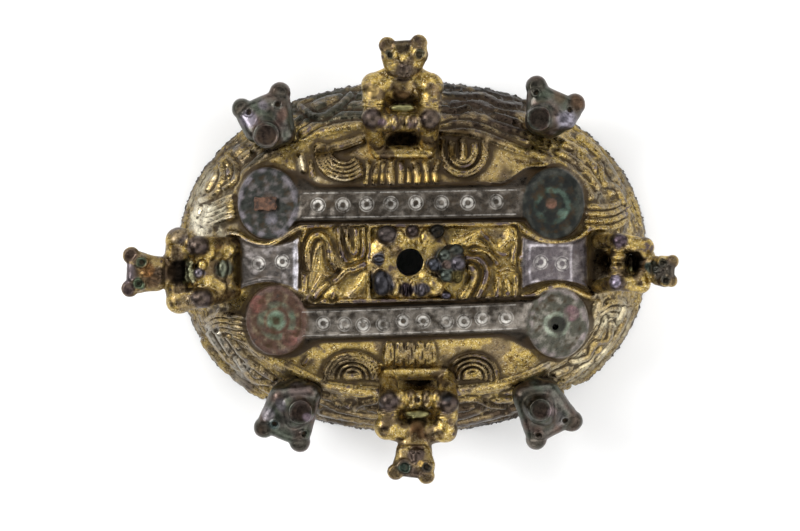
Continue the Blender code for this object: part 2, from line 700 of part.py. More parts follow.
def bear_blank(bear):
    """A broad wedge head: ears at the outer corners, short round muzzle that points up,
    neck that runs down to the skirt behind it."""
    bm = bmesh.new()
    ears = [Vector((*ear, EAR_HEIGHT)) for ear in (bear.left_ear, bear.right_ear)]
    brow = (ears[0] + ears[1]) / 2
    inward = Vector((*(Vector(bear.muzzle) - brow.to_2d()).normalized(), 0.0))
    across = inward.cross(Vector((0, 0, 1)))
    muzzle = Vector((*bear.muzzle, MUZZLE_TOP))
    jaw = Vector((*bear.muzzle, FACE_HEIGHT - 1.2)) - 1.2 * inward
    for ear in ears:
        side = 1 if (ear - brow).dot(across) > 0 else -1
        ball(bm, ear, BEAR_EAR)
        for share in (0.25, 0.7):
            temple = ear.lerp(brow, share) + 1.2 * inward
            limb(bm, temple, jaw + across * side * 2.2 * (1 - share), SKULL, JAW)
        ball(bm, ear.lerp(brow, 0.3).lerp(jaw, 0.35) + Vector((0, 0, SKULL)), BEAR_EYE)
    limb(bm, jaw, muzzle, MUZZLE_RADIUS + 0.6, MUZZLE_RADIUS, round_end=False)
    for side in (-1, 0, 1):
        foot = Vector((*bear.foot, NECK_FOOT_HEIGHT))
        limb(bm, jaw + across * 1.4 * side, foot + across * side, JAW + 0.4, JAW + 0.4)
    return bm


def make_bears(root, seat):
    """The four plain bronze heads on the diagonals."""
    bronze = alloy("dark_bronze", (0.12, 0.11, 0.09), 0.4, 0.8)
    for name, bear in BEARS.items():
        cast_piece("bear_head_" + name, bear_blank(bear), root, bronze, BEAR_FACES, seat)


def make_rivet(root):
    """The rusty rest of an iron rivet, through the upper left disc."""
    rust = alloy("rusty_iron", (0.2, 0.07, 0.03), 0.85, 0.1)
    middle, hole = RIVET_HOLE
    radius = hole - 0.3
    top = disc_level(DISCS["nw"]) + 1.4
    bm = bmesh.new()
    peg(bm, middle, radius, 19.0, top, segments=12)
    crown = [v for v in bm.verts if v.co.z > top - 0.1]
    for index, vert in enumerate(crown):
        vert.co.z += 0.25 * math.sin(2.4 * index)
        vert.co.x += 0.12 * math.cos(3.7 * index)
    place("rivet_stub", bm, root, rust)


def centre_on_footprint(root):
    """Moves everything so that the origin is under the middle of the whole brooch."""
    graph = bpy.context.evaluated_depsgraph_get()
    points = []
    for thing in bpy.context.scene.objects:
        if thing.type == "MESH" and not thing.hide_render:
            evaluated = thing.evaluated_get(graph)
            mesh = evaluated.to_mesh()
            points += [thing.matrix_world @ v.co for v in mesh.vertices]
            evaluated.to_mesh_clear()
    low_x, high_x = min(p.x for p in points), max(p.x for p in points)
    low_y, high_y = min(p.y for p in points), max(p.y for p in points)
    root.location = (-(low_x + high_x) / 2, -(low_y + high_y) / 2, 0.0)


def build():
    """Makes the whole brooch."""
    clear_scene()
    root = bpy.data.objects.new("brooch", None)
    bpy.context.scene.collection.objects.link(root)
    make_shell(root)
    seat = place("seat", seat_blank(), root)
    make_beasts(root, seat)
    make_centre_beast(root, seat)
    make_bears(root, seat)
    make_rivet(root)
    centre_on_footprint(root)


build()
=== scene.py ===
"""Looks of a Viking Age oval brooch: worn gilding on cast bronze, dark ring-and-dot bands,
corroded boss seats, seated beasts and plain bear heads. Sizes are in millimetres until a
mesh is written; plan places are measured from the middle of the rim."""

import math
from collections import namedtuple

import bmesh
import bpy
import numpy as np
from mathutils import Matrix, Vector, noise


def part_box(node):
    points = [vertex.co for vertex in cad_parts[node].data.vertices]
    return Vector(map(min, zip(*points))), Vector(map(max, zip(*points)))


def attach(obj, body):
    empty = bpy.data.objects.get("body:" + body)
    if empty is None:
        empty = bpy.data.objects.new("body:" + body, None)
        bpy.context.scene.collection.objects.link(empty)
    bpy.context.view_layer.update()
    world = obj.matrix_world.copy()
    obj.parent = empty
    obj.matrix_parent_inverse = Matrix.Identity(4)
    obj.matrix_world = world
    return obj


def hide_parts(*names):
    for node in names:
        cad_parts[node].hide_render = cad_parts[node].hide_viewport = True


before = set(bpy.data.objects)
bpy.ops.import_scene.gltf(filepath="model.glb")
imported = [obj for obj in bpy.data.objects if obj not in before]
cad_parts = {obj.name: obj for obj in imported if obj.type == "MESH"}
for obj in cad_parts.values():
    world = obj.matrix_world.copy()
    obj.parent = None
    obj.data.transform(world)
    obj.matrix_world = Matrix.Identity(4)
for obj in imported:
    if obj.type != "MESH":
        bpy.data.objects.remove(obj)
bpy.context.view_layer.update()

MM = 0.001
shell_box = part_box("shell")
RIM_CENTRE = Vector((*((shell_box[0] + shell_box[1]) / 2).xy, 0.0))

# Camera: almost straight above, moved a little to the north and east of the place that it
# looks at, so that those flanks show more. Its height is in metres.

CAMERA_HEIGHT = 0.65
CAMERA_TURN_EAST = math.radians(0.6)
CAMERA_TURN_NORTH = math.radians(3.0)
VIEW_CENTRE = RIM_CENTRE + Vector((-2.81, -1.91, 0.0)) * MM

camera = bpy.data.objects.new("camera", bpy.data.cameras.new("camera"))
bpy.context.scene.collection.objects.link(camera)
camera.data.lens = 130.0
camera.data.sensor_width = 36.0
lean = (math.sin(CAMERA_TURN_EAST), math.sin(CAMERA_TURN_NORTH), 1.0)
camera.location = VIEW_CENTRE + CAMERA_HEIGHT * Vector(lean)
sight = (VIEW_CENTRE - camera.location).normalized()
right = sight.cross(Vector((0, 1, 0))).normalized()
camera.matrix_world = Matrix.Translation(camera.location) @ Matrix(
    (right, right.cross(sight), -sight)
).transposed().to_4x4()
bpy.context.scene.camera = camera
bpy.context.scene.view_settings.view_transform = "Standard"


# Shell: a bowl cast in bronze from a lost model, with its ornament, its pin lugs and its
# catch plate in one, and then fire-gilded. The bands and discs were left bare and have gone
# dark. Stations run from 0 in the middle of the crown over 1 on the ridge to 2 on the rim.

RIM_LENGTH = 105.0
RIM_WIDTH = 78.4
RIM_POWER = 2.16
RIDGE_LENGTH = 82.6
RIDGE_WIDTH = 57.4
RIDGE_POWER = 2.4
RIDGE_HEIGHT = 19.5
CROWN_HEIGHT = 27.5
CROWN_POWER = 2.8
SKIRT_BULGE_OUT = 0.62
SKIRT_BULGE_UP = 0.72
WALL = 1.9
RIM_TRIM = 0.5
CROWN_SHARE = 0.69
SKIN_STEPS = 302
LINING_STEPS = 48
LINING_DROP = 3.0
TRIM_CORNERS = ((-70.0, -60.0, -6.0), (70.0, 60.0, 0.0))
SHELL_LIFT_ROUNDS = 20


def dome_points(across, along, inset=0.0):
    """Bends points of a square sheet, -1 to 1 each way, over the plain dome. Returns x, y,
    z and the station: 0 in the middle, 1 on the ridge, 2 on the rim."""
    disc_x = across * np.sqrt(1 - along**2 / 2)
    disc_y = along * np.sqrt(1 - across**2 / 2)
    reach = np.clip(np.hypot(disc_x, disc_y), 0.0, 1.0)
    heading = np.arctan2(disc_y, disc_x)
    turn_x, turn_y = np.cos(heading), np.sin(heading)
    past = (reach - CROWN_SHARE) / (1 - CROWN_SHARE)
    station = np.where(reach < CROWN_SHARE, reach / CROWN_SHARE, 1 + past)
    crown = np.minimum(station, 1.0)
    down = np.clip(station - 1.0, 0.0, 1.0)
    out = 2 * down * (1 - down) * SKIRT_BULGE_OUT + down**2
    up = (1 - down) ** 2 + 2 * down * (1 - down) * SKIRT_BULGE_UP
    ridge_x, ridge_y = RIDGE_LENGTH / 2 - 0.6 * inset, RIDGE_WIDTH / 2 - 0.6 * inset
    rim_x, rim_y = RIM_LENGTH / 2 - 1.04 * inset, RIM_WIDTH / 2 - 1.04 * inset
    half_x = crown * ridge_x + out * (rim_x - ridge_x)
    half_y = crown * ridge_y + out * (rim_y - ridge_y)
    power = RIDGE_POWER + out * (RIM_POWER - RIDGE_POWER)
    bulge = (np.abs(turn_x) ** power + np.abs(turn_y) ** power) ** (-1 / power)
    ridge_z = RIDGE_HEIGHT - 0.8 * inset
    rise = CROWN_HEIGHT - inset - ridge_z
    z_crown = ridge_z + rise * (1 - crown**CROWN_POWER)
    z_skirt = (ridge_z + RIM_TRIM) * up - RIM_TRIM
    z = np.where(station <= 1.0, z_crown, z_skirt)
    return half_x * bulge * turn_x, half_y * bulge * turn_y, z, station


def fade(distance, inner, outer):
    """1 up to inner, 0 beyond outer, with a soft slope between."""
    t = np.clip((outer - distance) / (outer - inner), 0.0, 1.0)
    return t * t * (3 - 2 * t)


def bead(distance, half):
    """A half-round moulding."""
    return np.sqrt(np.clip(1 - (distance / half) ** 2, 0.0, 1.0))


def cord(distance, half):
    """A half-round moulding that runs out softly into the ground."""
    return 0.7 * bead(distance, half) + 0.3 * fade(distance, 0.8 * half, 2.4 * half)


def gable(distance, half):
    """A moulding with two flat slopes."""
    return np.clip(1 - distance / half, 0.0, 1.0)


def curve_through(points, steps=7):
    """A smooth curve through a few plan points."""
    p = [np.array(q, float) for q in points]
    p = [2 * p[0] - p[1], *p, 2 * p[-1] - p[-2]]
    curve = []
    for a, b, c, d in zip(p, p[1:], p[2:], p[3:]):
        for t in np.linspace(0, 1, steps, endpoint=False):
            bend = 2 * b + (c - a) * t + (2 * a - 5 * b + 4 * c - d) * t**2
            curve.append(0.5 * (bend + (3 * b - a - 3 * c + d) * t**3))
    curve.append(p[-2])
    return np.array(curve)


def line_distance(x, y, points):
    """Distance in plan to a chain of points."""
    nearest = np.full_like(x, 1e3)
    for (ax, ay), (bx, by) in zip(points, points[1:]):
        ux, uy = bx - ax, by - ay
        length = max(ux * ux + uy * uy, 1e-9)
        t = np.clip(((x - ax) * ux + (y - ay) * uy) / length, 0.0, 1.0)
        nearest = np.minimum(nearest, np.hypot(x - ax - t * ux, y - ay - t * uy))
    return nearest


def away_from(x, y, spot):
    """Distance in plan to a place."""
    return np.hypot(x - spot[0], y - spot[1])


def arc(middle, radii, first, last, steps=14):
    """Points on part of an ellipse, by angles in degrees."""
    turns = np.radians(np.linspace(first, last, steps))
    return np.stack([middle[0] + radii[0] * np.cos(turns), middle[1] + radii[1] * np.sin(turns)], 1)


def near_curve(x, y, curve, reach):
    """Which points lie within reach of the box round a curve, and their distance to it."""
    curve = np.asarray(curve, float)
    low, high = curve.min(0) - reach, curve.max(0) + reach
    near = (x > low[0]) & (x < high[0]) & (y > low[1]) & (y < high[1])
    return near, line_distance(x[near], y[near], curve)


def stroke(height, x, y, curve, half, rise, profile=cord):
    """Raises a moulding along a curve, or sinks a groove where the rise is below zero."""
    near, away = near_curve(x, y, curve, 2.4 * half)
    shape = profile(away, half)
    if rise > 0:
        height[near] = np.maximum(height[near], rise * shape)
    else:
        height[near] += rise * shape


def weave(height, x, y, curve, half, rise):
    """Lays a ribbon, with a groove along each side, over whatever it crosses."""
    reach = half + 1.0
    near, away = near_curve(x, y, curve, reach)
    ribbon = rise * (0.55 + 0.45 * bead(away, half)) * fade(away, half - 0.1, half + 0.3)
    ribbon -= 0.45 * bead(away - half - 0.4, 0.45)
    height[near] += fade(away, half + 0.4, reach) * (ribbon - height[near])


# Mouldings that frame the middle field and dip round the discs, and bars between its panels
MOULDINGS = (
    ((-45.5, 6.2), (-41.0, 6.3), (-37.8, 5.8), (-35.1, 4.4), (-31.6, 3.9), (-28.2, 5.4),
     (-24.7, 7.5), (-21.9, 8.1), (-11.2, 8.3), (1.8, 8.4), (14.7, 8.6), (21.6, 8.5),
     (24.7, 6.9), (27.6, 5.3), (30.5, 4.5), (33.3, 4.4), (36.2, 5.1), (39.1, 7.3)),
    ((-39.0, -6.2), (-36.1, -4.7), (-31.6, -3.7), (-28.2, -4.2), (-24.7, -6.0),
     (-21.9, -7.7), (-17.8, -8.2), (-5.0, -8.1), (8.9, -8.0), (19.5, -8.1), (22.8, -8.1),
     (25.4, -7.4), (28.0, -6.2), (31.9, -5.1), (35.1, -5.9), (38.0, -7.3), (41.0, -8.0)),
)
PANEL_BARS = (-23.3, -9.2, 22.9)

# Animals in the two panels: curve, half-width and rise of each part
PANEL_CORDS = (
    (((-15.9, 7.4), (-15.5, 4.0), (-14.8, 1.4), (-13.2, -0.2), (-11.3, 0.8), (-10.5, 3.1),
      (-10.6, 7.2)), 0.5, 1.2),
    (((-14.3, 7.2), (-13.7, 4.0), (-12.9, 2.2), (-12.2, 2.0), (-11.8, 3.4), (-12.0, 7.2)), 0.4, 1.1),
    (((-22.6, -1.0), (-22.7, 2.4), (-21.9, 5.0), (-20.3, 6.2), (-18.7, 5.3), (-17.9, 3.1),
      (-17.5, 0.5), (-16.0, -1.8)), 0.75, 1.3),
    (((-18.3, -2.6), (-17.3, -4.0), (-17.1, -7.4)), 0.5, 1.0),
    (((-18.0, -4.8), (-15.9, -3.4), (-14.2, -1.6), (-12.6, -1.2), (-10.3, -0.3)), 0.8, 1.2),
    (((-20.9, -7.3), (-19.3, -5.3), (-18.4, -4.6)), 0.6, 1.0),
    (((11.9, 1.3), (13.4, 1.2), (14.9, 0.6), (16.0, -1.2), (16.0, -3.2), (15.4, -5.0),
      (14.3, -7.2)), 0.75, 1.4),
    (((12.6, -1.0), (13.4, -2.4), (12.6, -5.0), (11.2, -7.3)), 1.0, 0.9),
    (((13.0, 3.0), (15.4, 3.2), (17.4, 1.6), (18.6, -0.8), (18.7, -4.0), (18.3, -7.2)), 0.6, 1.1),
    (((11.6, 4.0), (13.6, 4.6), (16.4, 3.8), (18.8, 4.0)), 0.6, 1.0),
    (((15.0, 6.6), (16.8, 4.9), (18.6, 2.4), (20.9, 2.0), (22.0, 2.4)), 0.55, 1.1),
    (((22.1, 7.4), (22.5, 4.0), (21.9, 0.8), (22.6, -4.0), (22.3, -7.6)), 0.4, 1.0),
    (((19.0, -1.6), (20.6, -1.0), (21.8, -1.6)), 0.4, 0.9),
)
PANEL_LEAVES = (
    (((-20.5, 3.0), (-21.4, -1.2), (-22.0, -5.0)), 1.1, 0.8),
    (((-19.4, -2.6), (-20.5, -4.4), (-22.0, -6.8)), 1.3, 0.9),
    (((-9.8, -2.2), (-11.4, -4.8), (-13.8, -7.5)), 1.5, 0.9),
    (((-17.0, 2.2), (-15.6, 0.2), (-14.2, -2.0)), 1.2, 0.8),
    (((-19.9, 4.0), (-19.7, 1.2), (-20.0, -1.4)), 1.0, 0.7),
    (((9.8, 4.0), (12.6, 5.6), (15.0, 7.1)), 1.5, 0.9),
    (((19.4, 3.6), (20.9, 5.2), (21.4, 7.2)), 1.6, 1.0),
    (((20.7, -4.2), (20.9, -6.4)), 1.2, 0.9),
    (((-18.6, -7.2), (-16.8, -5.6), (-15.6, -6.6)), 1.0, 0.7),
)

# Hips of four animals at the crown's edge: middle, radii of the curves, first and last angle
HIPS = (
    ((-14.7, 24.4), ((2.9, 2.9), (3.75, 3.8), (4.6, 4.7), (5.4, 5.6), (6.2, 6.5)), 168, 318),
    ((11.1, 24.6), ((2.2, 2.9), (3.0, 3.8), (4.5, 5.0), (5.3, 5.8)), 158, 376),
    ((-12.9, -25.0), ((2.0, 1.7), (3.2, 2.7), (4.4, 3.7), (5.3, 4.5), (6.2, 5.3)), -6, 186),
    ((13.2, -25.0), ((1.9, 1.7), (3.1, 2.8), (4.2, 3.8), (5.4, 4.9)), -12, 192),
)
HIP_CORES = (
    (((-17.0, 24.9), (-14.7, 25.4), (-11.0, 26.8)), 1.2, 1.3),
    (((11.0, 26.2), (11.1, 22.9)), 1.0, 1.2),
    (((-14.1, -25.0), (-11.9, -24.9)), 1.0, 1.3),
    (((12.0, -25.0), (14.2, -24.6)), 1.0, 1.3),
)
HIP_TAILS = (
    ((-9.6, 22.4), (-8.6, 23.6), (-8.8, 26.4)),
    ((-7.2, -22.2), (-5.6, -23.2), (-3.5, -23.6)),
    ((-7.9, -23.6), (-6.0, -24.3), (-3.5, -24.7)),
    ((7.6, -23.6), (5.0, -23.0), (0.0, -23.2), (-3.0, -23.0)),
    ((4.9, -24.6), (2.0, -24.2), (-2.0, -24.3)),
)
CORNER_LEAVES = (
    (((-24.3, 22.9), (-23.4, 20.0)), 1.0, 1.3),
    (((-22.0, 21.6), (-21.5, 18.8)), 0.8, 0.9),
    (((21.9, -20.4), (21.5, -24.4)), 0.7, -0.9),
    (((24.6, -22.8), (21.9, -20.4)), 0.4, -0.7),
    (((-20.6, -20.2), (-20.6, -23.4)), 0.5, -0.7),
    (((-22.4, -20.9), (-23.6, -22.4)), 0.6, 0.8),
)
# Upright flutes between the upper hips, each with its half-width; then the leaves between the
# lower ones: place and share of the full width
UPPER_FLUTES = (
    ((-9.9, 17.2), (-9.2, 19.0), (-9.6, 21.8), 0.55),
    ((-7.9, 17.2), (-7.8, 19.4), (-6.9, 21.6), 0.8),
    ((-6.3, 17.4), (-6.0, 19.2), (-5.9, 21.2), 0.5),
    ((-4.4, 17.2), (-4.5, 19.8), (-4.2, 21.8), 0.9),
    ((-2.2, 17.2), (-2.2, 19.2), (-2.3, 21.6), 0.75),
    ((-0.6, 17.6), (-0.4, 19.6), (-0.2, 21.2), 0.5),
    ((1.3, 17.2), (1.2, 19.2), (0.7, 21.8), 0.8),
    ((3.3, 17.2), (3.4, 19.2), (2.9, 21.6), 0.7),
    ((5.2, 17.4), (5.0, 19.6), (5.5, 21.8), 0.6),
)
LOWER_LEAVES = ((-5.0, 0.9), (-2.7, 0.7), (-0.4, 1.0), (1.9, 0.7), (4.0, 0.9))

# Fans on the skirt beside the discs: first curve, step to the next, count and half-width;
# then strands between the mounts, lines along the ridge, and a small whorl in the north-east
FANS = (
    (((-47.0, 8.6), (-44.5, 7.7), (-42.1, 8.4), (-38.9, 9.9)), (0.0, 1.05), 5, 0.55),
    (((46.4, 8.4), (43.8, 7.4), (41.0, 7.2), (38.2, 7.6)), (-0.1, 1.5), 4, 0.7),
    (((-44.8, -13.2), (-43.0, -11.9), (-40.4, -11.6), (-36.6, -12.4)), (0.15, -1.15), 5, 0.55),
    (((46.2, -9.6), (44.6, -9.0), (42.6, -9.2), (40.9, -10.4)), (-0.35, -1.4), 4, 0.6),
)
STRANDS = (
    (((-47.3, 10.2), (-46.4, 13.4), (-44.0, 17.4), (-40.6, 21.6), (-37.8, 24.4)), 0.7, 0.8),
    (((-44.2, 13.2), (-42.2, 16.6), (-39.6, 19.6), (-37.4, 21.8), (-35.4, 23.2)), 0.7, 0.9),
    (((-46.6, 12.8), (-43.2, 14.6), (-41.6, 18.2), (-42.4, 20.6)), 0.5, 0.7),
    (((-41.0, 15.6), (-38.6, 17.6), (-38.6, 20.6), (-40.8, 22.8)), 0.45, 0.7),
    (((-26.2, 29.0), (-23.2, 31.3), (-21.4, 33.4), (-18.3, 34.8), (-14.7, 35.3), (-10.4, 35.2)),
     0.9, 0.9),
    (((-25.8, 26.9), (-22.4, 30.4), (-19.6, 31.6), (-16.1, 33.5), (-10.4, 33.8)), 0.75, 0.8),
    (((-24.0, 27.6), (-18.9, 30.7), (-15.4, 31.4), (-10.4, 31.6)), 0.75, 0.8),
    (((-25.0, 33.6), (-21.0, 31.2), (-17.2, 32.6), (-13.6, 36.0)), 0.6, 0.8),
    (((6.5, 29.8), (13.0, 29.9), (19.0, 28.4), (25.0, 26.0)), 0.55, 0.7),
    (((6.0, 31.0), (10.5, 31.9), (15.5, 31.1), (20.5, 29.2), (26.0, 27.6)), 0.7, 0.6),
    (((6.0, 33.2), (10.0, 32.9), (14.5, 33.7), (19.5, 31.3), (26.0, 29.2)), 0.45, 0.8),
    (((9.0, 34.4), (12.0, 35.1), (17.0, 33.6), (21.5, 32.9), (26.0, 30.6)), 0.75, 0.5),
    (((6.5, 36.2), (11.5, 36.0), (16.0, 36.0), (19.5, 34.2), (24.0, 33.8)), 0.5, 0.6),
    (((33.2, 25.6), (36.0, 24.2), (38.8, 21.6), (41.6, 18.0), (43.8, 14.6)), 0.6, 0.8),
    (((32.0, 23.8), (35.2, 22.0), (38.4, 19.2), (40.6, 16.0)), 0.55, 0.7),
    (((37.0, 27.0), (40.4, 24.0), (43.2, 20.4), (45.6, 16.0), (47.2, 11.6)), 0.6, 0.8),
    (((41.4, 20.6), (42.0, 17.2), (44.8, 15.8), (46.6, 12.6)), 0.45, 0.7),
    (((-45.0, -16.4), (-42.6, -20.2), (-38.8, -24.0), (-33.4, -28.2), (-29.0, -30.8)), 0.55, 0.7),
    (((-42.6, -16.2), (-39.8, -20.6), (-36.2, -24.2), (-31.6, -27.4)), 0.55, 0.8),
    (((-40.2, -16.6), (-37.8, -20.0), (-34.2, -23.4), (-30.4, -26.0)), 0.5, 0.7),
    (((-46.6, -18.4), (-43.4, -22.8), (-38.6, -27.2), (-33.2, -30.8)), 0.5, 0.6),
    (((-38.8, -21.6), (-35.4, -26.6), (-31.6, -27.0)), 0.5, 0.7),
    (((-20.2, -29.4), (-17.9, -30.0), (-15.4, -31.7), (-11.2, -31.7), (-7.0, -33.2)), 0.5, 0.8),
    (((-20.2, -32.4), (-16.9, -31.7), (-13.7, -33.9), (-11.6, -31.4), (-8.0, -30.6)), 0.5, 0.8),
    (((-20.4, -34.2), (-14.9, -35.3), (-8.0, -36.2)), 0.55, 0.7),
    (((-20.4, -30.9), (-16.0, -33.2), (-10.0, -34.6), (-7.0, -34.6)), 0.4, 0.6),
    (((9.5, -32.9), (15.6, -31.7), (20.7, -29.4), (24.0, -27.6)), 0.6, 0.8),
    (((9.5, -34.9), (14.0, -33.4), (18.0, -31.0), (23.5, -30.0)), 0.6, 0.8),
    (((10.2, -36.7), (15.7, -35.3), (23.6, -32.9)), 0.7, 0.9),
    (((9.8, -30.6), (13.8, -30.2), (17.0, -31.8), (20.4, -32.4)), 0.45, 0.7),
    (((31.2, -24.8), (34.6, -23.4), (38.0, -20.4), (40.6, -16.6), (42.0, -12.6)), 0.5, 0.8),
    (((33.4, -26.4), (37.8, -23.4), (41.6, -19.8), (44.6, -15.4), (46.6, -10.8)), 0.55, 0.8),
    (((35.0, -22.2), (38.6, -21.2), (40.0, -18.4), (43.2, -17.6), (44.0, -14.0)), 0.45, 0.7),
    (((41.0, -22.4), (44.6, -18.2), (47.2, -13.4)), 0.5, 0.6),
)
CROWN_LINES = (
    ((-37.9, 15.0), (-36.6, 18.2), (-34.2, 20.8), (-30.6, 23.4), (-25.6, 25.6), (-21.5, 27.3),
     (-16.2, 28.7), (-11.0, 29.6)),
    ((5.7, 28.6), (11.1, 28.1), (15.5, 27.2), (19.8, 25.7), (23.4, 24.4), (28.0, 22.9),
     (33.5, 19.9), (36.9, 17.0), (38.6, 13.9)),
    ((-36.2, -16.7), (-31.9, -20.4), (-28.4, -22.4), (-24.9, -24.2), (-21.5, -25.8),
     (-18.0, -27.0), (-12.0, -28.0), (-7.0, -28.4)),
    ((40.6, -8.9), (38.7, -14.1), (35.6, -18.7), (29.9, -22.5), (24.5, -25.2), (17.3, -27.1),
     (9.5, -28.0)),
)
DISC_RING = ((17.6, 17.0), (20.5, 17.1), (23.6, 18.6), (26.8, 20.6), (29.9, 21.4))
WHORL_PLACE = (36.9, 22.8)
WHORL_RADII = (0.6, 1.5)

# Bands: half-widths of face and foot, flare at the ends, rise, ends, and level and slope of
# each. Straps: rise, half-width at the waist, flare, ends and middle. Discs: places, radii,
# rise and outward tilt
BAND_FACE_HALF = 2.9
BAND_FOOT_HALF = 4.1
BAND_FLARE = 3.2
BAND_RISE = 2.0
BAND_ENDS = (-30.0, 31.0)
BANDS = ((12.85, 0.016), (-12.35, 0.036))
STRAP_RISE = 1.5
STRAP_WAIST = 3.9
STRAP_FLARE = 1.6
STRAPS = ((-37.2, -24.6, -0.2), (23.9, 38.0, 0.2))
DISCS = {"nw": (-31.2, 12.8), "ne": (30.8, 12.8), "sw": (-29.4, -12.6), "se": (31.8, -13.2)}
DISC_RADII = (6.6, 7.6)
DISC_RISE = 2.1
DISC_TILT = math.radians(14.0)
# Plain beds of the seated beasts: heading, middle, half-width, near and far end; then that
# of the centre beast: middle, and half sides where it is whole and where it ends
SEATS = (
    (0, -1.9, 8.3, 24.3, 38.5), (90, -1.7, 7.5, 39.3, 53.0),
    (180, -1.3, 8.5, 24.2, 37.5), (-90, -0.3, 6.1, 40.9, 51.5),
)
CENTRE_BED = ((-0.8, 0.2), (7.4, 6.4), (8.6, 7.5))


def disc_place(x, y, middle):
    """Distance from a disc's middle, 1 on its edge, and the height of its flat face."""
    away = np.hypot((x - middle[0]) / DISC_RADII[0], (y - middle[1]) / DISC_RADII[1])
    share = (abs(2 * middle[0] / RIDGE_LENGTH) ** RIDGE_POWER
             + abs(2 * middle[1] / RIDGE_WIDTH) ** RIDGE_POWER) ** (1 / RIDGE_POWER)
    level = RIDGE_HEIGHT + (CROWN_HEIGHT - RIDGE_HEIGHT) * (1 - share**CROWN_POWER) + DISC_RISE
    reach = math.hypot(*middle)
    outward = ((x - middle[0]) * middle[0] + (y - middle[1]) * middle[1]) / reach
    return away, level - math.tan(DISC_TILT) * outward


def band_place(x, y):
    """Distance across the nearer band, how far its foot flares to meet the discs, and 1
    between the bands' ends."""
    off = np.full_like(x, 1e3)
    for level, slope in BANDS:
        off = np.minimum(off, np.abs(y - level - slope * x))
    flare = BAND_FLARE * fade(31.0 - np.abs(x), 5.0, 12.0) * (np.abs(y) > 12.6)
    middle, half = sum(BAND_ENDS) / 2, (BAND_ENDS[1] - BAND_ENDS[0]) / 2
    return off, flare, fade(np.abs(x - middle), half - 0.5, half + 0.5)


def strap_place(x, y):
    """1 on the two waisted plates west and east of the middle field."""
    plate = np.zeros_like(x)
    for inner, outer, lean_y in STRAPS:
        middle, half = (inner + outer) / 2, (outer - inner) / 2
        waist = STRAP_WAIST + STRAP_FLARE * ((x - middle) / half) ** 2
        within = fade(np.abs(x - middle), half - 0.1, half + 0.5)
        plate = np.maximum(plate, within * fade(np.abs(y - lean_y), waist - 0.1, waist + 0.5))
    return plate


def mount_seats(x, y):
    """1 where the seated beasts stand on the plain casting."""
    across, along = (fade(np.abs(place - middle), whole, end)
                     for place, middle, whole, end in zip((x, y), *CENTRE_BED))
    seat = 0.6 * across * along
    for heading, middle, half, near, far in SEATS:
        turn = math.radians(heading)
        side = x * math.cos(turn) + y * math.sin(turn) - middle
        outward = -x * math.sin(turn) + y * math.cos(turn)
        depth = (far - near) / 2 + 1.4
        within = fade(np.abs(outward - (near + far) / 2), depth, depth + 0.6)
        seat = np.maximum(seat, within * fade(np.abs(side), half - 0.6, half))
    return seat


def carve_fields(x, y, station):
    """The gilded fields: height of the ornament above the plain dome."""
    height = np.zeros_like(x)
    for path in MOULDINGS:
        stroke(height, x, y, curve_through(path), 0.8, 1.5)
    for bar in PANEL_BARS:
        stroke(height, x, y, [(bar, -7.8), (bar, 8.0)], 0.6, 1.4)
    for path, half, rise in PANEL_CORDS:
        weave(height, x, y, curve_through(path), half, rise)
    for path, half, rise in PANEL_LEAVES:
        stroke(height, x, y, curve_through(path), half, rise, gable)
    for middle, rings, first, last in HIPS:
        for radii in rings:
            stroke(height, x, y, arc(middle, radii, first, last), 0.42, 1.3, bead)
    for path, half, rise in HIP_CORES:
        stroke(height, x, y, curve_through(path), half, rise, bead)
    for path in HIP_TAILS:
        stroke(height, x, y, curve_through(path), 0.38, 0.8)
    for path, half, rise in CORNER_LEAVES:
        stroke(height, x, y, path, half, rise, gable)
    for *path, half in UPPER_FLUTES:
        weave(height, x, y, curve_through(path), half, 0.8)
    for foot, half in LOWER_LEAVES:
        stroke(height, x, y, arc((foot, -20.0), (0.95 * half, 2.6), 0, 360, 18), 0.3, 0.8)
        stroke(height, x, y, [(foot - 0.3, -18.0), (foot + 0.2, -22.0)], 0.6 * half, 1.1, gable)
    height *= 1.25 * fade(station, 0.97, 1.0)
    for path in CROWN_LINES:
        line = curve_through(path)
        stroke(height, x, y, line, 0.9, 1.25)
        stroke(height, x, y, line + 1.3 * line / np.linalg.norm(line, axis=1)[:, None], 0.45, 0.6)
    stroke(height, x, y, curve_through(DISC_RING), 0.8, 1.2)
    for path, pitch, count, half in FANS:
        for step in range(count):
            line = [(px + step * pitch[0], py + step * pitch[1]) for px, py in path]
            stroke(height, x, y, curve_through(line), half, 1.3)
    for path, half, rise in STRANDS:
        weave(height, x, y, curve_through(path), half, 1.3 * rise)
    for radius in WHORL_RADII:
        stroke(height, x, y, arc(WHORL_PLACE, (radius, radius), 0, 360, 20), 0.32, 0.7)
    return height


def carve_shell(x, y, z, station):
    """Height of all cast ornament above the plain dome."""
    height = carve_fields(x, y, station)
    height = np.maximum(height, STRAP_RISE * strap_place(x, y))
    off, flare, within = band_place(x, y)
    slope = fade(off, BAND_FACE_HALF, BAND_FOOT_HALF + flare)
    height = height * (1 - (off < BAND_FOOT_HALF + flare) * within)
    height = np.maximum(height, BAND_RISE * slope * within)
    height -= 0.14 * bead(np.abs(off - BAND_FACE_HALF + 0.3), 0.3) * within * (np.abs(x) < 24)
    height *= 1 - mount_seats(x, y)
    for middle in DISCS.values():
        away, level = disc_place(x, y, middle)
        inside = fade(away, 0.97, 1.06)
        dish = 0.35 * fade(np.abs(away - 0.93), 0.0, 0.12)
        height += (level + dish - z - height) * inside
    dimple = DISCS["sw"]
    stroke(height, x, y, [dimple, (dimple[0], dimple[1] + 0.1)], 0.9, -0.5)
    height += 0.55 * bead(np.abs(station - 1.93), 0.06)
    return height


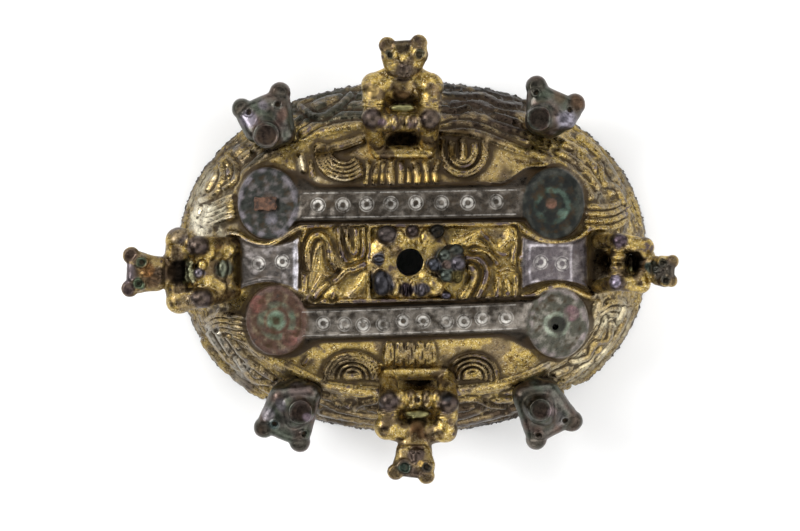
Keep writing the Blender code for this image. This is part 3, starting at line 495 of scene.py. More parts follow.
def write_mesh(name, bm):
    """Turns a blank modelled in millimetres about the rim's centre into an object in place."""
    bmesh.ops.recalc_face_normals(bm, faces=bm.faces)
    place = Matrix.Translation(RIM_CENTRE) @ Matrix.Scale(MM, 4)
    bmesh.ops.transform(bm, matrix=place, verts=bm.verts)
    mesh = bpy.data.meshes.new(name)
    bm.to_mesh(mesh)
    bm.free()
    thing = bpy.data.objects.new(name, mesh)
    bpy.context.scene.collection.objects.link(thing)
    return thing


def settle(thing, discard=()):
    """Applies the modifiers, and removes the cutters that they used."""
    graph = bpy.context.evaluated_depsgraph_get()
    finished = bpy.data.meshes.new_from_object(thing.evaluated_get(graph))
    thing.modifiers.clear()
    thing.data = finished
    for cutter in discard:
        bpy.data.objects.remove(cutter, do_unlink=True)


def cut(thing, other, operation="DIFFERENCE"):
    """Cuts other from thing, or joins it on."""
    step = thing.modifiers.new(operation.lower() + "_" + other.name, "BOOLEAN")
    step.operation = operation
    step.solver = "MANIFOLD"
    step.object = other


def read_points(mesh):
    """The mesh's points in millimetres from the rim's centre, one row each."""
    spots = np.empty(3 * len(mesh.vertices), np.float32)
    mesh.vertices.foreach_get("co", spots)
    return (spots.reshape(-1, 3).astype(float) - np.array(RIM_CENTRE)) / MM


def write_points(mesh, spots):
    """Moves the mesh's points to the given places."""
    mesh.vertices.foreach_set("co", (spots * MM + np.array(RIM_CENTRE)).astype(np.float32).ravel())
    mesh.update()


def read_normals(mesh):
    """The direction of each of the mesh's points, one row each."""
    ways = np.empty(3 * len(mesh.vertices), np.float32)
    mesh.vertex_normals.foreach_get("vector", ways)
    return ways.reshape(-1, 3).astype(float)


def spread(mesh, values, rounds):
    """Averages values over neighbouring points, as many rounds as asked."""
    count = len(mesh.vertices)
    ends = np.empty(2 * len(mesh.edges), np.int32)
    mesh.edges.foreach_get("vertices", ends)
    one, two = ends[::2], ends[1::2]
    degree = np.bincount(ends, minlength=count).astype(float)
    values = values.copy()
    for _ in range(rounds):
        for column in range(values.shape[1]):
            held = values[:, column]
            total = np.bincount(one, held[two], count) + np.bincount(two, held[one], count)
            values[:, column] = 0.5 * held + 0.5 * total / degree
    return values


def store(mesh, name, values):
    """Keeps one number, or one colour, for each point."""
    kind, key = ("FLOAT", "value") if values.ndim == 1 else ("FLOAT_COLOR", "color")
    attribute = mesh.attributes.new(name, kind, "POINT")
    attribute.data.foreach_set(key, values.astype(np.float32).ravel())


def find_lift(mesh, rounds):
    """How far each point stands out of its surroundings, in millimetres."""
    spots = read_points(mesh)
    return ((spots - spread(mesh, spots, rounds)) * read_normals(mesh)).sum(1)


def linear(hex_colour):
    """An sRGB hex colour as linear red, green, blue and alpha."""
    parts = [int(hex_colour[i:i + 2], 16) / 255 for i in (1, 3, 5)]
    return (*(c / 12.92 if c <= 0.04045 else ((c + 0.055) / 1.055) ** 2.4 for c in parts), 1.0)


def add(tree, kind, inputs=(), output=0, **settings):
    """Adds a node with its settings, and a value or a link for each input. Returns an output."""
    new = tree.nodes.new(kind)
    for key, value in settings.items():
        setattr(new, key, value)
    for key, value in dict(inputs).items():
        if isinstance(value, bpy.types.NodeSocket):
            tree.links.new(value, new.inputs[key])
        else:
            new.inputs[key].default_value = value
    return new.outputs[output]


# Roughness of the metal in millimetres: everywhere, and more on the discs, skirt and rim
PITTED, PITTED_DISCS, PITTED_SKIRT, PITTED_RIM = 0.07, 0.13, 0.12, 0.3


def carve_sheet(spots, station, side):
    """Moves the skin's points out by the ornament, and by the roughness of old metal: least
    on the crown, more on the discs and the skirt, most at the corroded rim."""
    x, y, z = spots.T
    sheet = spots.reshape(side, side, 3)
    ways = np.cross(np.gradient(sheet, axis=1), np.gradient(sheet, axis=0)).reshape(-1, 3)
    ways /= np.linalg.norm(ways, axis=1)[:, None]
    ways *= np.sign(ways[:, 2:3])
    on_discs = np.zeros_like(x)
    for middle in DISCS.values():
        on_discs = np.maximum(on_discs, fade(disc_place(x, y, middle)[0], 1.0, 1.15))
    upright = np.maximum(fade(station, 0.96, 1.04), on_discs)[:, None]
    ways = upright * np.array([0.0, 0.0, 1.0]) + (1 - upright) * ways
    places = [Vector(spot) for spot in spots]
    rough = np.array([noise.noise(0.8 * p) + 0.5 * noise.noise(2.3 * p) for p in places])
    worms = np.array([noise.noise(0.34 * p) for p in places])
    skirt = fade(1.1 - station, 0.0, 0.06)
    rim = fade(2.0 - station, 0.02, 0.12)
    rise = carve_shell(x, y, z, station)
    pitted = PITTED + PITTED_DISCS * on_discs + PITTED_SKIRT * skirt + PITTED_RIM * rim
    rise += pitted * rough
    rise += 0.5 * skirt * gable(np.abs(worms), 0.1) * (rise < 0.4)
    return spots + rise[:, None] * ways / np.linalg.norm(ways, axis=1)[:, None]


def dome_sheet(bm, steps, inset=0.0, carve=False):
    """A square grid bent over the dome and, for the outer face, carved. Returns its border."""
    verts = bmesh.ops.create_grid(bm, x_segments=steps, y_segments=steps, size=1.0)["verts"]
    flat = np.array([v.co for v in verts])
    *spots, station = dome_points(flat[:, 0], flat[:, 1], inset)
    spots = np.stack(spots, 1)
    if carve:
        spots = carve_sheet(spots, station, steps + 1)
    for vert, spot in zip(verts, spots):
        vert.co = spot
    return [edge for edge in bm.edges if edge.is_boundary]


def block(bm, low, high):
    """A box between two corners."""
    size, middle = Vector(high) - Vector(low), (Vector(high) + Vector(low)) / 2
    form = Matrix.Translation(middle) @ Matrix.Diagonal((*size, 1.0))
    bmesh.ops.create_cube(bm, matrix=form)


def peg(bm, middle, radius, low, high, turn=Matrix()):
    """A capped cylinder."""
    form = Matrix.Translation(middle) @ turn @ Matrix.Translation((0, 0, (low + high) / 2))
    bmesh.ops.create_cone(bm, cap_ends=True, segments=48, radius1=radius, radius2=radius,
                          depth=high - low, matrix=form)


def single_form(name, form, *sizes):
    """A cutter that is one box or one peg."""
    bm = bmesh.new()
    form(bm, *sizes)
    return write_mesh(name, bm)


def make_lining():
    """The hollow of the bowl, run out below the rim."""
    bm = bmesh.new()
    border = dome_sheet(bm, LINING_STEPS, inset=WALL)
    lowered = bmesh.ops.extrude_edge_only(bm, edges=border)["geom"]
    verts = [part for part in lowered if isinstance(part, bmesh.types.BMVert)]
    bmesh.ops.translate(bm, vec=(0, 0, -LINING_DROP), verts=verts)
    bmesh.ops.edgeloop_fill(bm, edges=[edge for edge in bm.edges if edge.is_boundary])
    return write_mesh("lining", bm)


# Bite broken from the rim beside the lower right bear head: outline along the rim and up,
# depth through it, place and turn
BITE_OUTLINE = (
    (-3.1, -2.0), (-2.6, 2.1), (-1.2, 3.9), (0.6, 4.6), (2.0, 2.9), (3.3, 1.2), (3.7, -2.0))
BITE_DEPTH = 12.0
BITE_PLACE = (36.2, -29.8, 0.0)
BITE_TURN = math.radians(38.0)


def make_bite():
    """The lost piece of the rim, as a cutter."""
    bm = bmesh.new()
    face = bm.faces.new([bm.verts.new((along, BITE_DEPTH / 2, up)) for along, up in BITE_OUTLINE])
    moved = bmesh.ops.extrude_face_region(bm, geom=[face])["geom"]
    verts = [part for part in moved if isinstance(part, bmesh.types.BMVert)]
    bmesh.ops.translate(bm, vec=(0, -BITE_DEPTH, 0), verts=verts)
    place = Matrix.Translation(BITE_PLACE) @ Matrix.Rotation(BITE_TURN, 4, "Z")
    bmesh.ops.transform(bm, matrix=place, verts=bm.verts)
    return write_mesh("bite", bm)


# Holes through the middle of the crown and two of the discs: place and radius; then the
# heights between which they are drilled
HOLES = (((-0.5, 0.3), 3.0), ((31.2, -14.0), 0.7), ((-31.4, 13.1), 1.1))
DRILL_HEIGHTS = (12.0, 34.0)
# Pin lugs under the east end: place along the brooch, half the distance between them, half
# their thickness, reach inward and outward, level and rounding of the foot, level of the top
# on the inner and outer side; then the pin's bore: place and level, radius, half its length
LUG_END = 34.5
LUG_HALF_SPACING = 3.0
LUG_HALF_THICKNESS = 0.9
LUG_REACH = (-3.5, 2.5)
LUG_FOOT = 8.0
LUG_FOOT_ROUNDING = 2.6
LUG_TOPS = (22.8, 20.7)
PIN_BORE = ((34.0, 11.0), 1.1, 7.0)
# Catch plate under the west end and the hook on its foot: place along the brooch, then the
# low and high corners from there
CATCH_END = -35.5
CATCH_BLOCKS = (((-1.0, -4.5, 6.5), (1.0, 4.5, 21.3)), ((-0.9, -4.4, 6.6), (4.2, 4.4, 8.4)))


def make_lug(side):
    """One pin lug, its top sloped to meet the vault and its foot rounded."""
    bm = bmesh.new()
    middle = side * LUG_HALF_SPACING
    block(bm, (LUG_END + LUG_REACH[0], middle - LUG_HALF_THICKNESS, LUG_FOOT),
          (LUG_END + LUG_REACH[1], middle + LUG_HALF_THICKNESS, LUG_TOPS[1]))
    for vert in bm.verts:
        if vert.co.z > LUG_FOOT + 1 and vert.co.x < LUG_END:
            vert.co.z = LUG_TOPS[0]
    foot = [edge for edge in bm.edges if all(vert.co.z < LUG_FOOT + 1 for vert in edge.verts)
            and abs(edge.verts[0].co.x - edge.verts[1].co.x) < 0.1]
    bmesh.ops.bevel(bm, geom=foot, offset=LUG_FOOT_ROUNDING, segments=6, profile=0.5,
                    affect="EDGES", material=-1)
    return write_mesh("lug", bm)


def make_fittings():
    """The pin lugs and the catch plate under the two ends."""
    fittings = [make_lug(side) for side in (-1, 1)]
    for low, high in CATCH_BLOCKS:
        bm = bmesh.new()
        block(bm, low, high)
        bmesh.ops.translate(bm, vec=(CATCH_END, 0, 0), verts=bm.verts)
        fittings.append(write_mesh("catch", bm))
    return fittings


def make_shell():
    """Carves the skin, hollows it out and joins on the fittings."""
    bm = bmesh.new()
    border = dome_sheet(bm, SKIN_STEPS, carve=True)
    bmesh.ops.edgeloop_fill(bm, edges=border)
    casting = write_mesh("shell_casting", bm)
    cutters = [make_lining(), single_form("trim", block, *TRIM_CORNERS), make_bite()]
    cutters += [single_form("drill", peg, (*middle, 0), radius, *DRILL_HEIGHTS)
                for middle, radius in HOLES]
    for cutter in cutters:
        cut(casting, cutter)
    fittings = make_fittings()
    for part in fittings:
        cut(casting, part, "UNION")
    (along, level), radius, half_length = PIN_BORE
    pin_drill = single_form("pin_drill", peg, (along, 0, level), radius, -half_length,
                            half_length, Matrix.Rotation(math.radians(90), 4, "X"))
    cut(casting, pin_drill)
    settle(casting, cutters + fittings + [pin_drill])
    return casting


def paint(colours, hex_colour, strength):
    """Lays a colour over what is there, patina and painted shade or highlight alike; alpha keeps how
    much gilding it hides.
    """
    colour = np.array(linear(hex_colour))
    colours += (colour - colours) * np.clip(strength, 0, 1)[:, None]


def blur_noise(spots, size, seed):
    """Smooth noise from -1 to 1 whose patches are about size millimetres."""
    shift = Vector((seed * 17.3, seed * 5.1, seed * 9.7))
    return np.array([noise.noise(Vector(p) / size + shift) for p in spots])


# Patina of the gilded fields, and painted highlights in the pale cream patches of the west skirt and
# by the north-west hip and its leaf: place, reach, colour and how fully it hides the gilding
FIELD_PATINA_AND_HIGHLIGHTS = (
    ((16.0, 36.5), (15.0, 5.0), "#1f1c17", 1.1),
    ((18.0, 31.5), (13.0, 6.0), "#362d26", 0.95),
    ((-18.0, 34.5), (13.0, 5.5), "#3c3a30", 0.95),
    # Pale cream on the west skirt's flats: painted highlights
    ((-43.5, 12.0), (8.5, 9.0), "#b9b096", 0.6),
    ((-46.5, 9.0), (3.0, 5.0), "#efe6cc", 0.7),
    ((-36.0, 23.5), (6.0, 6.0), "#4b4436", 0.6),
    ((-41.0, -20.0), (10.0, 12.0), "#989285", 0.6),
    ((-30.0, -29.0), (9.0, 6.0), "#5c524c", 0.6),
    ((42.0, 16.0), (7.0, 9.0), "#7a7464", 0.4),
    ((42.0, -16.0), (9.0, 12.0), "#bdb294", 0.65),
    ((32.0, -26.0), (9.0, 6.0), "#b0a484", 0.55),
    ((13.0, -34.5), (16.0, 4.4), "#41362b", 0.95),
    ((-14.0, -34.0), (11.0, 4.5), "#473c2c", 0.85),
    ((-19.0, 0.0), (5.0, 5.5), "#4a3b22", 0.5),
    ((-1.0, 22.5), (26.0, 8.0), "#3a2d16", 0.6),
    # Pale cream strips below the north-west hip and on its corner leaf: painted highlights
    ((-17.8, 17.9), (4.6, 1.1), "#dccdaa", 0.7),
    ((-24.0, 21.6), (1.3, 1.9), "#dccdaa", 0.6),
    ((-0.5, 18.6), (8.0, 1.2), "#c9ab66", 0.6),
    ((0.0, -23.5), (24.0, 6.0), "#4f4430", 0.4),
)
# Disc colours: face, blotches, core and edge; then single marks, rings or spots: place,
# radius, half-width and colour
DISC_COLOURS = {
    "nw": ("#282a25", "#575250", "#4a4038", "#716b70"),
    "ne": ("#121512", "#2c302a", "#1d1f1a", "#35352f"),
    "sw": ("#4a352a", "#685a47", "#4e5a46", "#5a4740"),
    "se": ("#48473d", "#78746a", "#26261f", "#857a78"),
}
DISC_MARKS = (
    ((-30.4, 9.6), 0.0, 1.2, "#8c8790"),
    ((-29.3, -12.6), 1.7, 0.3, "#7e9482"),
    ((-29.3, -12.6), 3.6, 0.5, "#4a6050"),
    ((30.4, 12.4), 3.4, 0.4, "#4d6255"),
    ((30.2, 12.8), 0.0, 1.0, "#86604f"),
    ((32.6, 10.6), 0.0, 0.9, "#6f8a7a"),
    ((31.4, -13.4), 2.4, 0.3, "#a3b09c"),
    ((34.6, -11.0), 0.0, 1.6, "#7d5560"),
    ((-33.4, -9.0), 0.0, 1.8, "#7a4640"),
    ((-26.4, -16.2), 0.0, 1.6, "#83504a"),
)
# Painted shadow on the shell under the seated beasts, where the holes between their legs and hands
# lie in shade: place and reach
PAINTED_SHADOWS = (((-1.9, 26.7), (3.6, 1.7)), ((1.5, -25.6), (3.3, 1.6)), ((41.0, -0.9), (2.4, 4.4)),
           ((-49.5, -2.2), (2.6, 4.4)))
# Bright ridge across the west strap: place and half-width; bright box on the east one: middle
# and half sides
STRAP_RIDGE = (-25.0, 0.5)
STRAP_BOX = ((30.0, -0.1), (4.5, 3.9))


def paint_discs(colours, x, y, mottle, mixed):
    """The four boss seats: mottled corrosion, a worn rim, and the marks of the lost bosses."""
    for name, middle in DISCS.items():
        face, blot, core, edge = DISC_COLOURS[name]
        away, _ = disc_place(x, y, middle)
        ragged = away + 0.05 * mixed
        paint(colours, face, fade(ragged, 1.0, 1.1))
        paint(colours, blot, fade(ragged, 1.0, 1.1) * np.clip(2.6 * mixed, 0, 1))
        paint(colours, edge, fade(np.abs(ragged - 0.95), 0.04, 0.14) * (0.4 + 1.4 * mottle))
        paint(colours, core, fade(away, 0.22, 0.34 + 0.12 * mixed))
    for spot, radius, half, hex_colour in DISC_MARKS:
        away = away_from(x, y, spot) + 0.25 * mixed
        mark = fade(np.abs(away - radius), half, half + 0.35)
        paint(colours, hex_colour, mark * (0.35 + 0.6 * mottle))


def paint_bands(colours, x, y, mixed):
    """The ungilded bands and straps: grey on top, dark on the bevels, silver where lines ran.
    Returns the distance from each band's middle line, for the inlay."""
    off, flare, within = band_place(x, y)
    band = fade(off - BAND_FOOT_HALF - flare, 0.0, 0.5) * within
    face = band * (off < BAND_FACE_HALF)
    paint(colours, "#3f3932", band)
    paint(colours, "#857e75", face * np.clip(0.9 * mixed + 0.45 * (y < 0), 0, 0.9))
    paint(colours, "#39332c", band * fade(-off, -BAND_FACE_HALF - 0.1, -BAND_FACE_HALF + 0.2))
    plate = strap_place(x, y)
    paint(colours, "#4f4a46", plate * (x < 0))
    paint(colours, "#544e50", plate * (x > 0))
    paint(colours, "#857f7d", plate * np.clip(1.2 * mixed, 0, 0.8))
    ridge = fade(np.abs(x - STRAP_RIDGE[0]), 0.7 * STRAP_RIDGE[1], 1.4 * STRAP_RIDGE[1])
    paint(colours, "#d6d2d8", plate * ridge * (0.75 + mixed))
    box_off = np.maximum(*(np.abs(p - c) - h for p, c, h in zip((x, y), *STRAP_BOX)))
    paint(colours, "#bdb6ba", plate * fade(np.abs(box_off), 0.12, 0.35) * (0.6 + mixed))
    return off + 10 * ((np.abs(x + 0.5) > 23.4) | (within < 0.5))


def paint_shell(mesh):
    """Keeps each point's patina colour, with painted shadow under the seated beasts and painted
    highlights on the west skirt and by the north-west hip, its lift, and place on the inner or outer
    face.
    """
    spots = read_points(mesh)
    x, y, z = spots.T
    ways = read_normals(mesh)
    lift = find_lift(mesh, SHELL_LIFT_ROUNDS)
    middle_field = fade(np.abs(y), 7.6, 8.6) * fade(np.abs(x), 22.6, 23.6)
    # In the middle field the hollows count as shallower, so less dirt and painted shade gathers in
    # them
    store(mesh, "lift", np.where(lift < 0, lift * (1 - 0.6 * middle_field), lift))
    patches, mottle, grit = (blur_noise(spots, *kind) for kind in ((5.0, 1), (1.7, 2), (0.8, 3)))
    mixed = mottle + 0.6 * grit
    colours = np.tile(np.array([*linear("#5f5557")[:3], 0.0]), (len(spots), 1))
    paint(colours, "#4c4233", np.clip(2.4 * (patches + 0.5 * mottle) - 0.35, 0, 0.75))
    # Patina, and the painted highlights listed with it
    for spot, reach, hex_colour, strength in FIELD_PATINA_AND_HIGHLIGHTS:
        near = fade(np.hypot((x - spot[0]) / reach[0], (y - spot[1]) / reach[1]), 0.7, 1.15)
        paint(colours, hex_colour, near * (strength + 0.6 * patches + 0.4 * mottle))
    store(mesh, "band_off", paint_bands(colours, x, y, mixed))
    paint_discs(colours, x, y, mottle, mixed)
    # Painted shadow under the seated beasts
    for spot, reach in PAINTED_SHADOWS:
        away = np.hypot((x - spot[0]) / reach[0], (y - spot[1]) / reach[1])
        paint(colours, "#15110c", 0.95 * fade(away, 0.8, 1.2))
    edge = fade(z, 1.0, 2.2 + 1.6 * mottle) * (ways[:, 2] > -0.5)
    paint(colours, "#332c28", edge * 0.95)
    on_bands = fade(np.abs(np.abs(y) - 12.6), 3.5, 4.5) * (np.abs(x) < 26)
    dull = 0.25 * np.maximum(strap_place(x, y), on_bands)
    for middle in DISCS.values():
        dull = np.maximum(dull, 0.85 * fade(disc_place(x, y, middle)[0], 1.0, 1.1))
    store(mesh, "dull", dull)
    store(mesh, "patina", colours)
    under_ends = (np.abs(x) > 30) & (np.abs(x) < 38) & (np.abs(y) < 6)
    fitting = under_ends & (z < 20.3)
    inner = (ways[:, 2] < -0.05) & (z > 0.05) | fitting
    store(mesh, "inner", spread(mesh, inner.astype(float)[:, None], 2)[:, 0])


# Noises of old metal, as scale per millimetre, detail and roughness: patches about 4 mm
# wide, blotches of 1.1 mm and specks of 0.3 mm, which also place the painted glints
METAL_NOISES = ((0.25, 3.0, 0.6), (0.9, 5.0, 0.65), (3.2, 3.0, 0.6))
GOLD_SHADED = "#5d4820"
GOLD_BRIGHT = "#d4b765"
GOLD_PAINTED_GLINTS = "#f3e8c6"
DIRT_AND_SHADE_FILM = "#31220b"


def wear_gilding(tree, noises, hidden, wear, grime_and_shade):
    """How far the gilding is gone, first from what stands out, and how thick the dark film is,
    first in what lies low: dirt, and painted shade in the hollows."""
    lift = add(tree, "ShaderNodeAttribute", output="Fac", attribute_name="lift")
    chance = add(tree, "ShaderNodeVectorMath", {0: noises, 1: (1.0, 0.6, 0.0)}, "Value",
                 operation="DOT_PRODUCT")
    chance = add(tree, "ShaderNodeMath", {0: lift, 1: wear, 2: chance}, operation="MULTIPLY_ADD")
    rubbed = add(tree, "ShaderNodeMapRange", {"Value": chance, "From Min": 0.88, "From Max": 1.04})
    bare = add(tree, "ShaderNodeMath", {0: rubbed, 1: hidden}, operation="MAXIMUM")
    # The dark film: dirt, and painted shade, in the low places
    chance = add(tree, "ShaderNodeVectorMath", {0: noises, 1: (1.2, 0.8, 0.2)}, "Value",
                 operation="DOT_PRODUCT")
    chance = add(tree, "ShaderNodeMath", {0: lift, 1: -grime_and_shade, 2: chance}, operation="MULTIPLY_ADD")
    dirt_and_shade = add(tree, "ShaderNodeMapRange", {
        "Value": chance, "From Min": 1.05, "From Max": 1.6, "To Max": 0.9},
        interpolation_type="SMOOTHSTEP")
    return bare, dirt_and_shade


def colour_metal(tree, noises, speck_noise, hidden, bare, bare_hex):
    """Gold from shaded to bright with pale specks that are painted glints, and bare bronze or its
    patina.
    """
    share = add(tree, "ShaderNodeVectorMath", {0: noises, 1: (0.3, 0.6, 0.1)}, "Value",
                operation="DOT_PRODUCT")
    share = add(tree, "ShaderNodeMapRange", {"Value": share, "From Min": 0.4, "From Max": 0.62})
    gold = add(tree, "ShaderNodeMix", {
        "Factor": share, "A": linear(GOLD_SHADED), "B": linear(GOLD_BRIGHT)}, "Result",
        data_type="RGBA")
    # Pale specks on the gold: painted glints
    share = add(tree, "ShaderNodeMapRange", {
        "Value": speck_noise, "From Min": 0.54, "From Max": 0.72, "To Max": 0.85})
    gold = add(tree, "ShaderNodeMix", {
        "Factor": share, "A": gold, "B": linear(GOLD_PAINTED_GLINTS)}, "Result", data_type="RGBA")
    patina = add(tree, "ShaderNodeAttribute", output="Color", attribute_name="patina")
    tone = add(tree, "ShaderNodeMix", {
        "Factor": hidden, "A": linear(bare_hex), "B": patina}, "Result", data_type="RGBA")
    grit = add(tree, "ShaderNodeVectorMath", {0: noises, 1: (0.2, 0.5, 0.3)}, "Value",
               operation="DOT_PRODUCT")
    grit = add(tree, "ShaderNodeMapRange", {
        "Value": grit, "From Min": 0.38, "From Max": 0.62, "To Min": 0.5, "To Max": 1.5})
    tone = add(tree, "ShaderNodeVectorMath", {0: tone, "Scale": grit}, operation="SCALE")
    return add(tree, "ShaderNodeMix", {
        "Factor": bare, "A": gold, "B": tone}, "Result", data_type="RGBA")


def finish_surface(tree, noises, bare, dirt_and_shade, rough, relief):
    """Duller and less metallic where dirt or corrosion lies, and pitted all over."""
    shader = tree.nodes["Principled BSDF"]
    _, fine, speck_noise = noises
    dull = add(tree, "ShaderNodeAttribute", output="Fac", attribute_name="dull")
    matt = add(tree, "ShaderNodeMath", {0: dirt_and_shade, 1: dull}, operation="MAXIMUM")
    metallic = add(tree, "ShaderNodeMapRange", {"Value": matt, "To Min": 1.0, "To Max": 0.1})
    tree.links.new(metallic, shader.inputs["Metallic"])
    shader.inputs["Specular IOR Level"].default_value = 0.25
    gloss = add(tree, "ShaderNodeMapRange", {
        "Value": fine, "From Min": 0.3, "From Max": 0.7, "To Min": rough[0], "To Max": rough[1]})
    gloss = add(tree, "ShaderNodeMath", {0: matt, 1: 0.3, 2: gloss}, operation="MULTIPLY_ADD")
    tree.links.new(gloss, shader.inputs["Roughness"])
    pits = add(tree, "ShaderNodeMath", {0: speck_noise, 1: 0.5, 2: fine}, operation="MULTIPLY_ADD")
    strength = add(tree, "ShaderNodeMapRange", {
        "Value": bare, "To Min": relief[0], "To Max": relief[1]})
    bump = add(tree, "ShaderNodeBump", {"Height": pits, "Strength": strength, "Distance": 0.00025})
    tree.links.new(bump, shader.inputs["Normal"])


def gilded_bronze(name, wear, grime_and_shade, bare_hex, rough, relief):
    """Fire-gilding on cast bronze, rubbed off the high places and dirty in the low ones, where
    the dark film is also painted shade. The eye sees pale warm metal with small glints, partly
    painted as pale specks, smooth violet-brown bronze where it is bare, and dull earth in the
    grooves. Rough and relief are pairs: roughness from least to most, and depth of the pits on
    gold and on bare bronze. Returns the material, the millimetres and the noises."""
    material = bpy.data.materials.new(name)
    material.use_nodes = True
    tree = material.node_tree
    mm = add(tree, "ShaderNodeMapping", {
        "Vector": add(tree, "ShaderNodeTexCoord", output="Object"), "Scale": (1000.0,) * 3,
        "Location": tuple(-1000.0 * c for c in RIM_CENTRE)})
    noises = [
        add(tree, "ShaderNodeTexNoise", {
            "Vector": mm, "Scale": scale, "Detail": detail, "Roughness": mix})
        for scale, detail, mix in METAL_NOISES]
    mixed = add(tree, "ShaderNodeCombineXYZ", dict(zip("XYZ", noises)))
    hidden = add(tree, "ShaderNodeAttribute", output="Alpha", attribute_name="patina")
    bare, dirt_and_shade = wear_gilding(tree, mixed, hidden, wear, grime_and_shade)
    metal = colour_metal(tree, mixed, noises[2], hidden, bare, bare_hex)
    surface = add(tree, "ShaderNodeMix", {
        "Factor": dirt_and_shade, "A": metal, "B": linear(DIRT_AND_SHADE_FILM)}, "Result", data_type="RGBA")
    tree.links.new(surface, tree.nodes["Principled BSDF"].inputs["Base Color"])
    finish_surface(tree, noises, bare, dirt_and_shade, rough, relief)
    return material, mm, noises


# Punched rings on the north band, the south band and the straps
RING_CENTRES = (
    (-20.2, 12.5), (-14.8, 12.6), (-9.7, 12.8), (-4.5, 12.9), (0.9, 13.1), (6.4, 13.1),
    (12.1, 13.1), (18.2, 13.3),
    (-19.1, -13.0), (-14.5, -13.1), (-10.5, -13.3), (-6.1, -13.1), (-1.8, -12.4), (2.5, -12.4),
    (7.5, -12.6), (11.3, -12.5), (15.2, -11.8), (20.4, -11.8),
    (-33.3, -0.3), (-28.0, 0.3), (27.9, 0.2), (32.6, -0.2),
)
# Lines of the inlay: distance at which each runs, half its width, and how much silver is left
RING_LINE = (0.9, 0.26, 0.9)
RING_EDGE = (1.55, 0.12, 0.35)
BAND_EDGE = (2.6, 0.12, 0.4)
SILVER = "#dedad2"
HOLLOW_DARK = "#2c2a22"
HOLLOW_GREEN = "#5f6a55"


def inlay_bands(material, mm, noises):
    """Draws the punched rings and edge lines, once filled with silver, and the bare inside."""
    tree = material.node_tree
    coarse, fine, _ = noises
    flat = add(tree, "ShaderNodeVectorMath", {0: mm, 1: (1.0, 1.0, 0.0)}, operation="MULTIPLY")
    near = None
    for centre in RING_CENTRES:
        away = add(tree, "ShaderNodeVectorMath", {0: flat, 1: (*centre, 0.0)}, "Value",
                   operation="DISTANCE")
        near = away if near is None else add(
            tree, "ShaderNodeMath", {0: near, 1: away}, operation="MINIMUM")
    off = add(tree, "ShaderNodeAttribute", output="Fac", attribute_name="band_off")
    silver = None
    for distance, (place, half, left) in ((near, RING_LINE), (near, RING_EDGE), (off, BAND_EDGE)):
        away = add(tree, "ShaderNodeMath", {0: distance, 1: place}, operation="SUBTRACT")
        away = add(tree, "ShaderNodeMath", {0: away}, operation="ABSOLUTE")
        line = add(tree, "ShaderNodeMapRange", {
            "Value": away, "From Min": 0.6 * half, "From Max": 1.6 * half,
            "To Min": left, "To Max": 0.0})
        silver = line if silver is None else add(
            tree, "ShaderNodeMath", {0: silver, 1: line}, operation="MAXIMUM")
    kept = add(tree, "ShaderNodeMapRange", {
        "Value": coarse, "From Min": 0.38, "From Max": 0.62, "To Min": 0.15, "To Max": 1.0})
    silver = add(tree, "ShaderNodeMath", {0: silver, 1: kept}, operation="MULTIPLY")
    kept = add(tree, "ShaderNodeMapRange", {"Value": fine, "From Min": 0.36, "From Max": 0.52})
    silver = add(tree, "ShaderNodeMath", {0: silver, 1: kept}, operation="MULTIPLY")
    on_bronze = add(tree, "ShaderNodeAttribute", output="Alpha", attribute_name="patina")
    silver = add(tree, "ShaderNodeMath", {0: silver, 1: on_bronze}, operation="MULTIPLY")
    base = tree.nodes["Principled BSDF"].inputs["Base Color"]
    inlaid = add(tree, "ShaderNodeMix", {
        "Factor": silver, "A": base.links[0].from_socket, "B": linear(SILVER)}, "Result",
        data_type="RGBA")
    core = add(tree, "ShaderNodeMix", {
        "Factor": fine, "A": linear(HOLLOW_DARK), "B": linear(HOLLOW_GREEN)}, "Result",
        data_type="RGBA")
    inner = add(tree, "ShaderNodeAttribute", output="Fac", attribute_name="inner")
    whole = add(tree, "ShaderNodeMix", {
        "Factor": inner, "A": inlaid, "B": core}, "Result", data_type="RGBA")
    tree.links.new(whole, base)


def dress(thing, material):
    """Gives a finished casting its one material and smooth shading."""
    thing.data.materials.clear()
    thing.data.materials.append(material)
    thing.data.shade_smooth()


shell = make_shell()
paint_shell(shell.data)
shell_bronze, shell_mm, shell_noises = gilded_bronze(
    "fire_gilded_bronze_shell", wear=0.3, grime_and_shade=2.2, bare_hex="#574c4a", rough=(0.2, 0.42),
    relief=(0.6, 0.3))
inlay_bands(shell_bronze, shell_mm, shell_noises)
dress(shell, shell_bronze)
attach(shell, "root")
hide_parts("shell")


# Seated beasts: four cast figures that sit on the ends of the axes, riveted on. Each holds
# its knees, looks up, and has its snout towards the middle and its ears outside. They are
# gilded, with the gold rubbed off the knees, the snout and the brow.

Beast = namedtuple("Beast", "name heading ears eyes eye_sizes jaw jaw_half snout shoulders "
                   "chest knees knee_size feet grip rump limb")

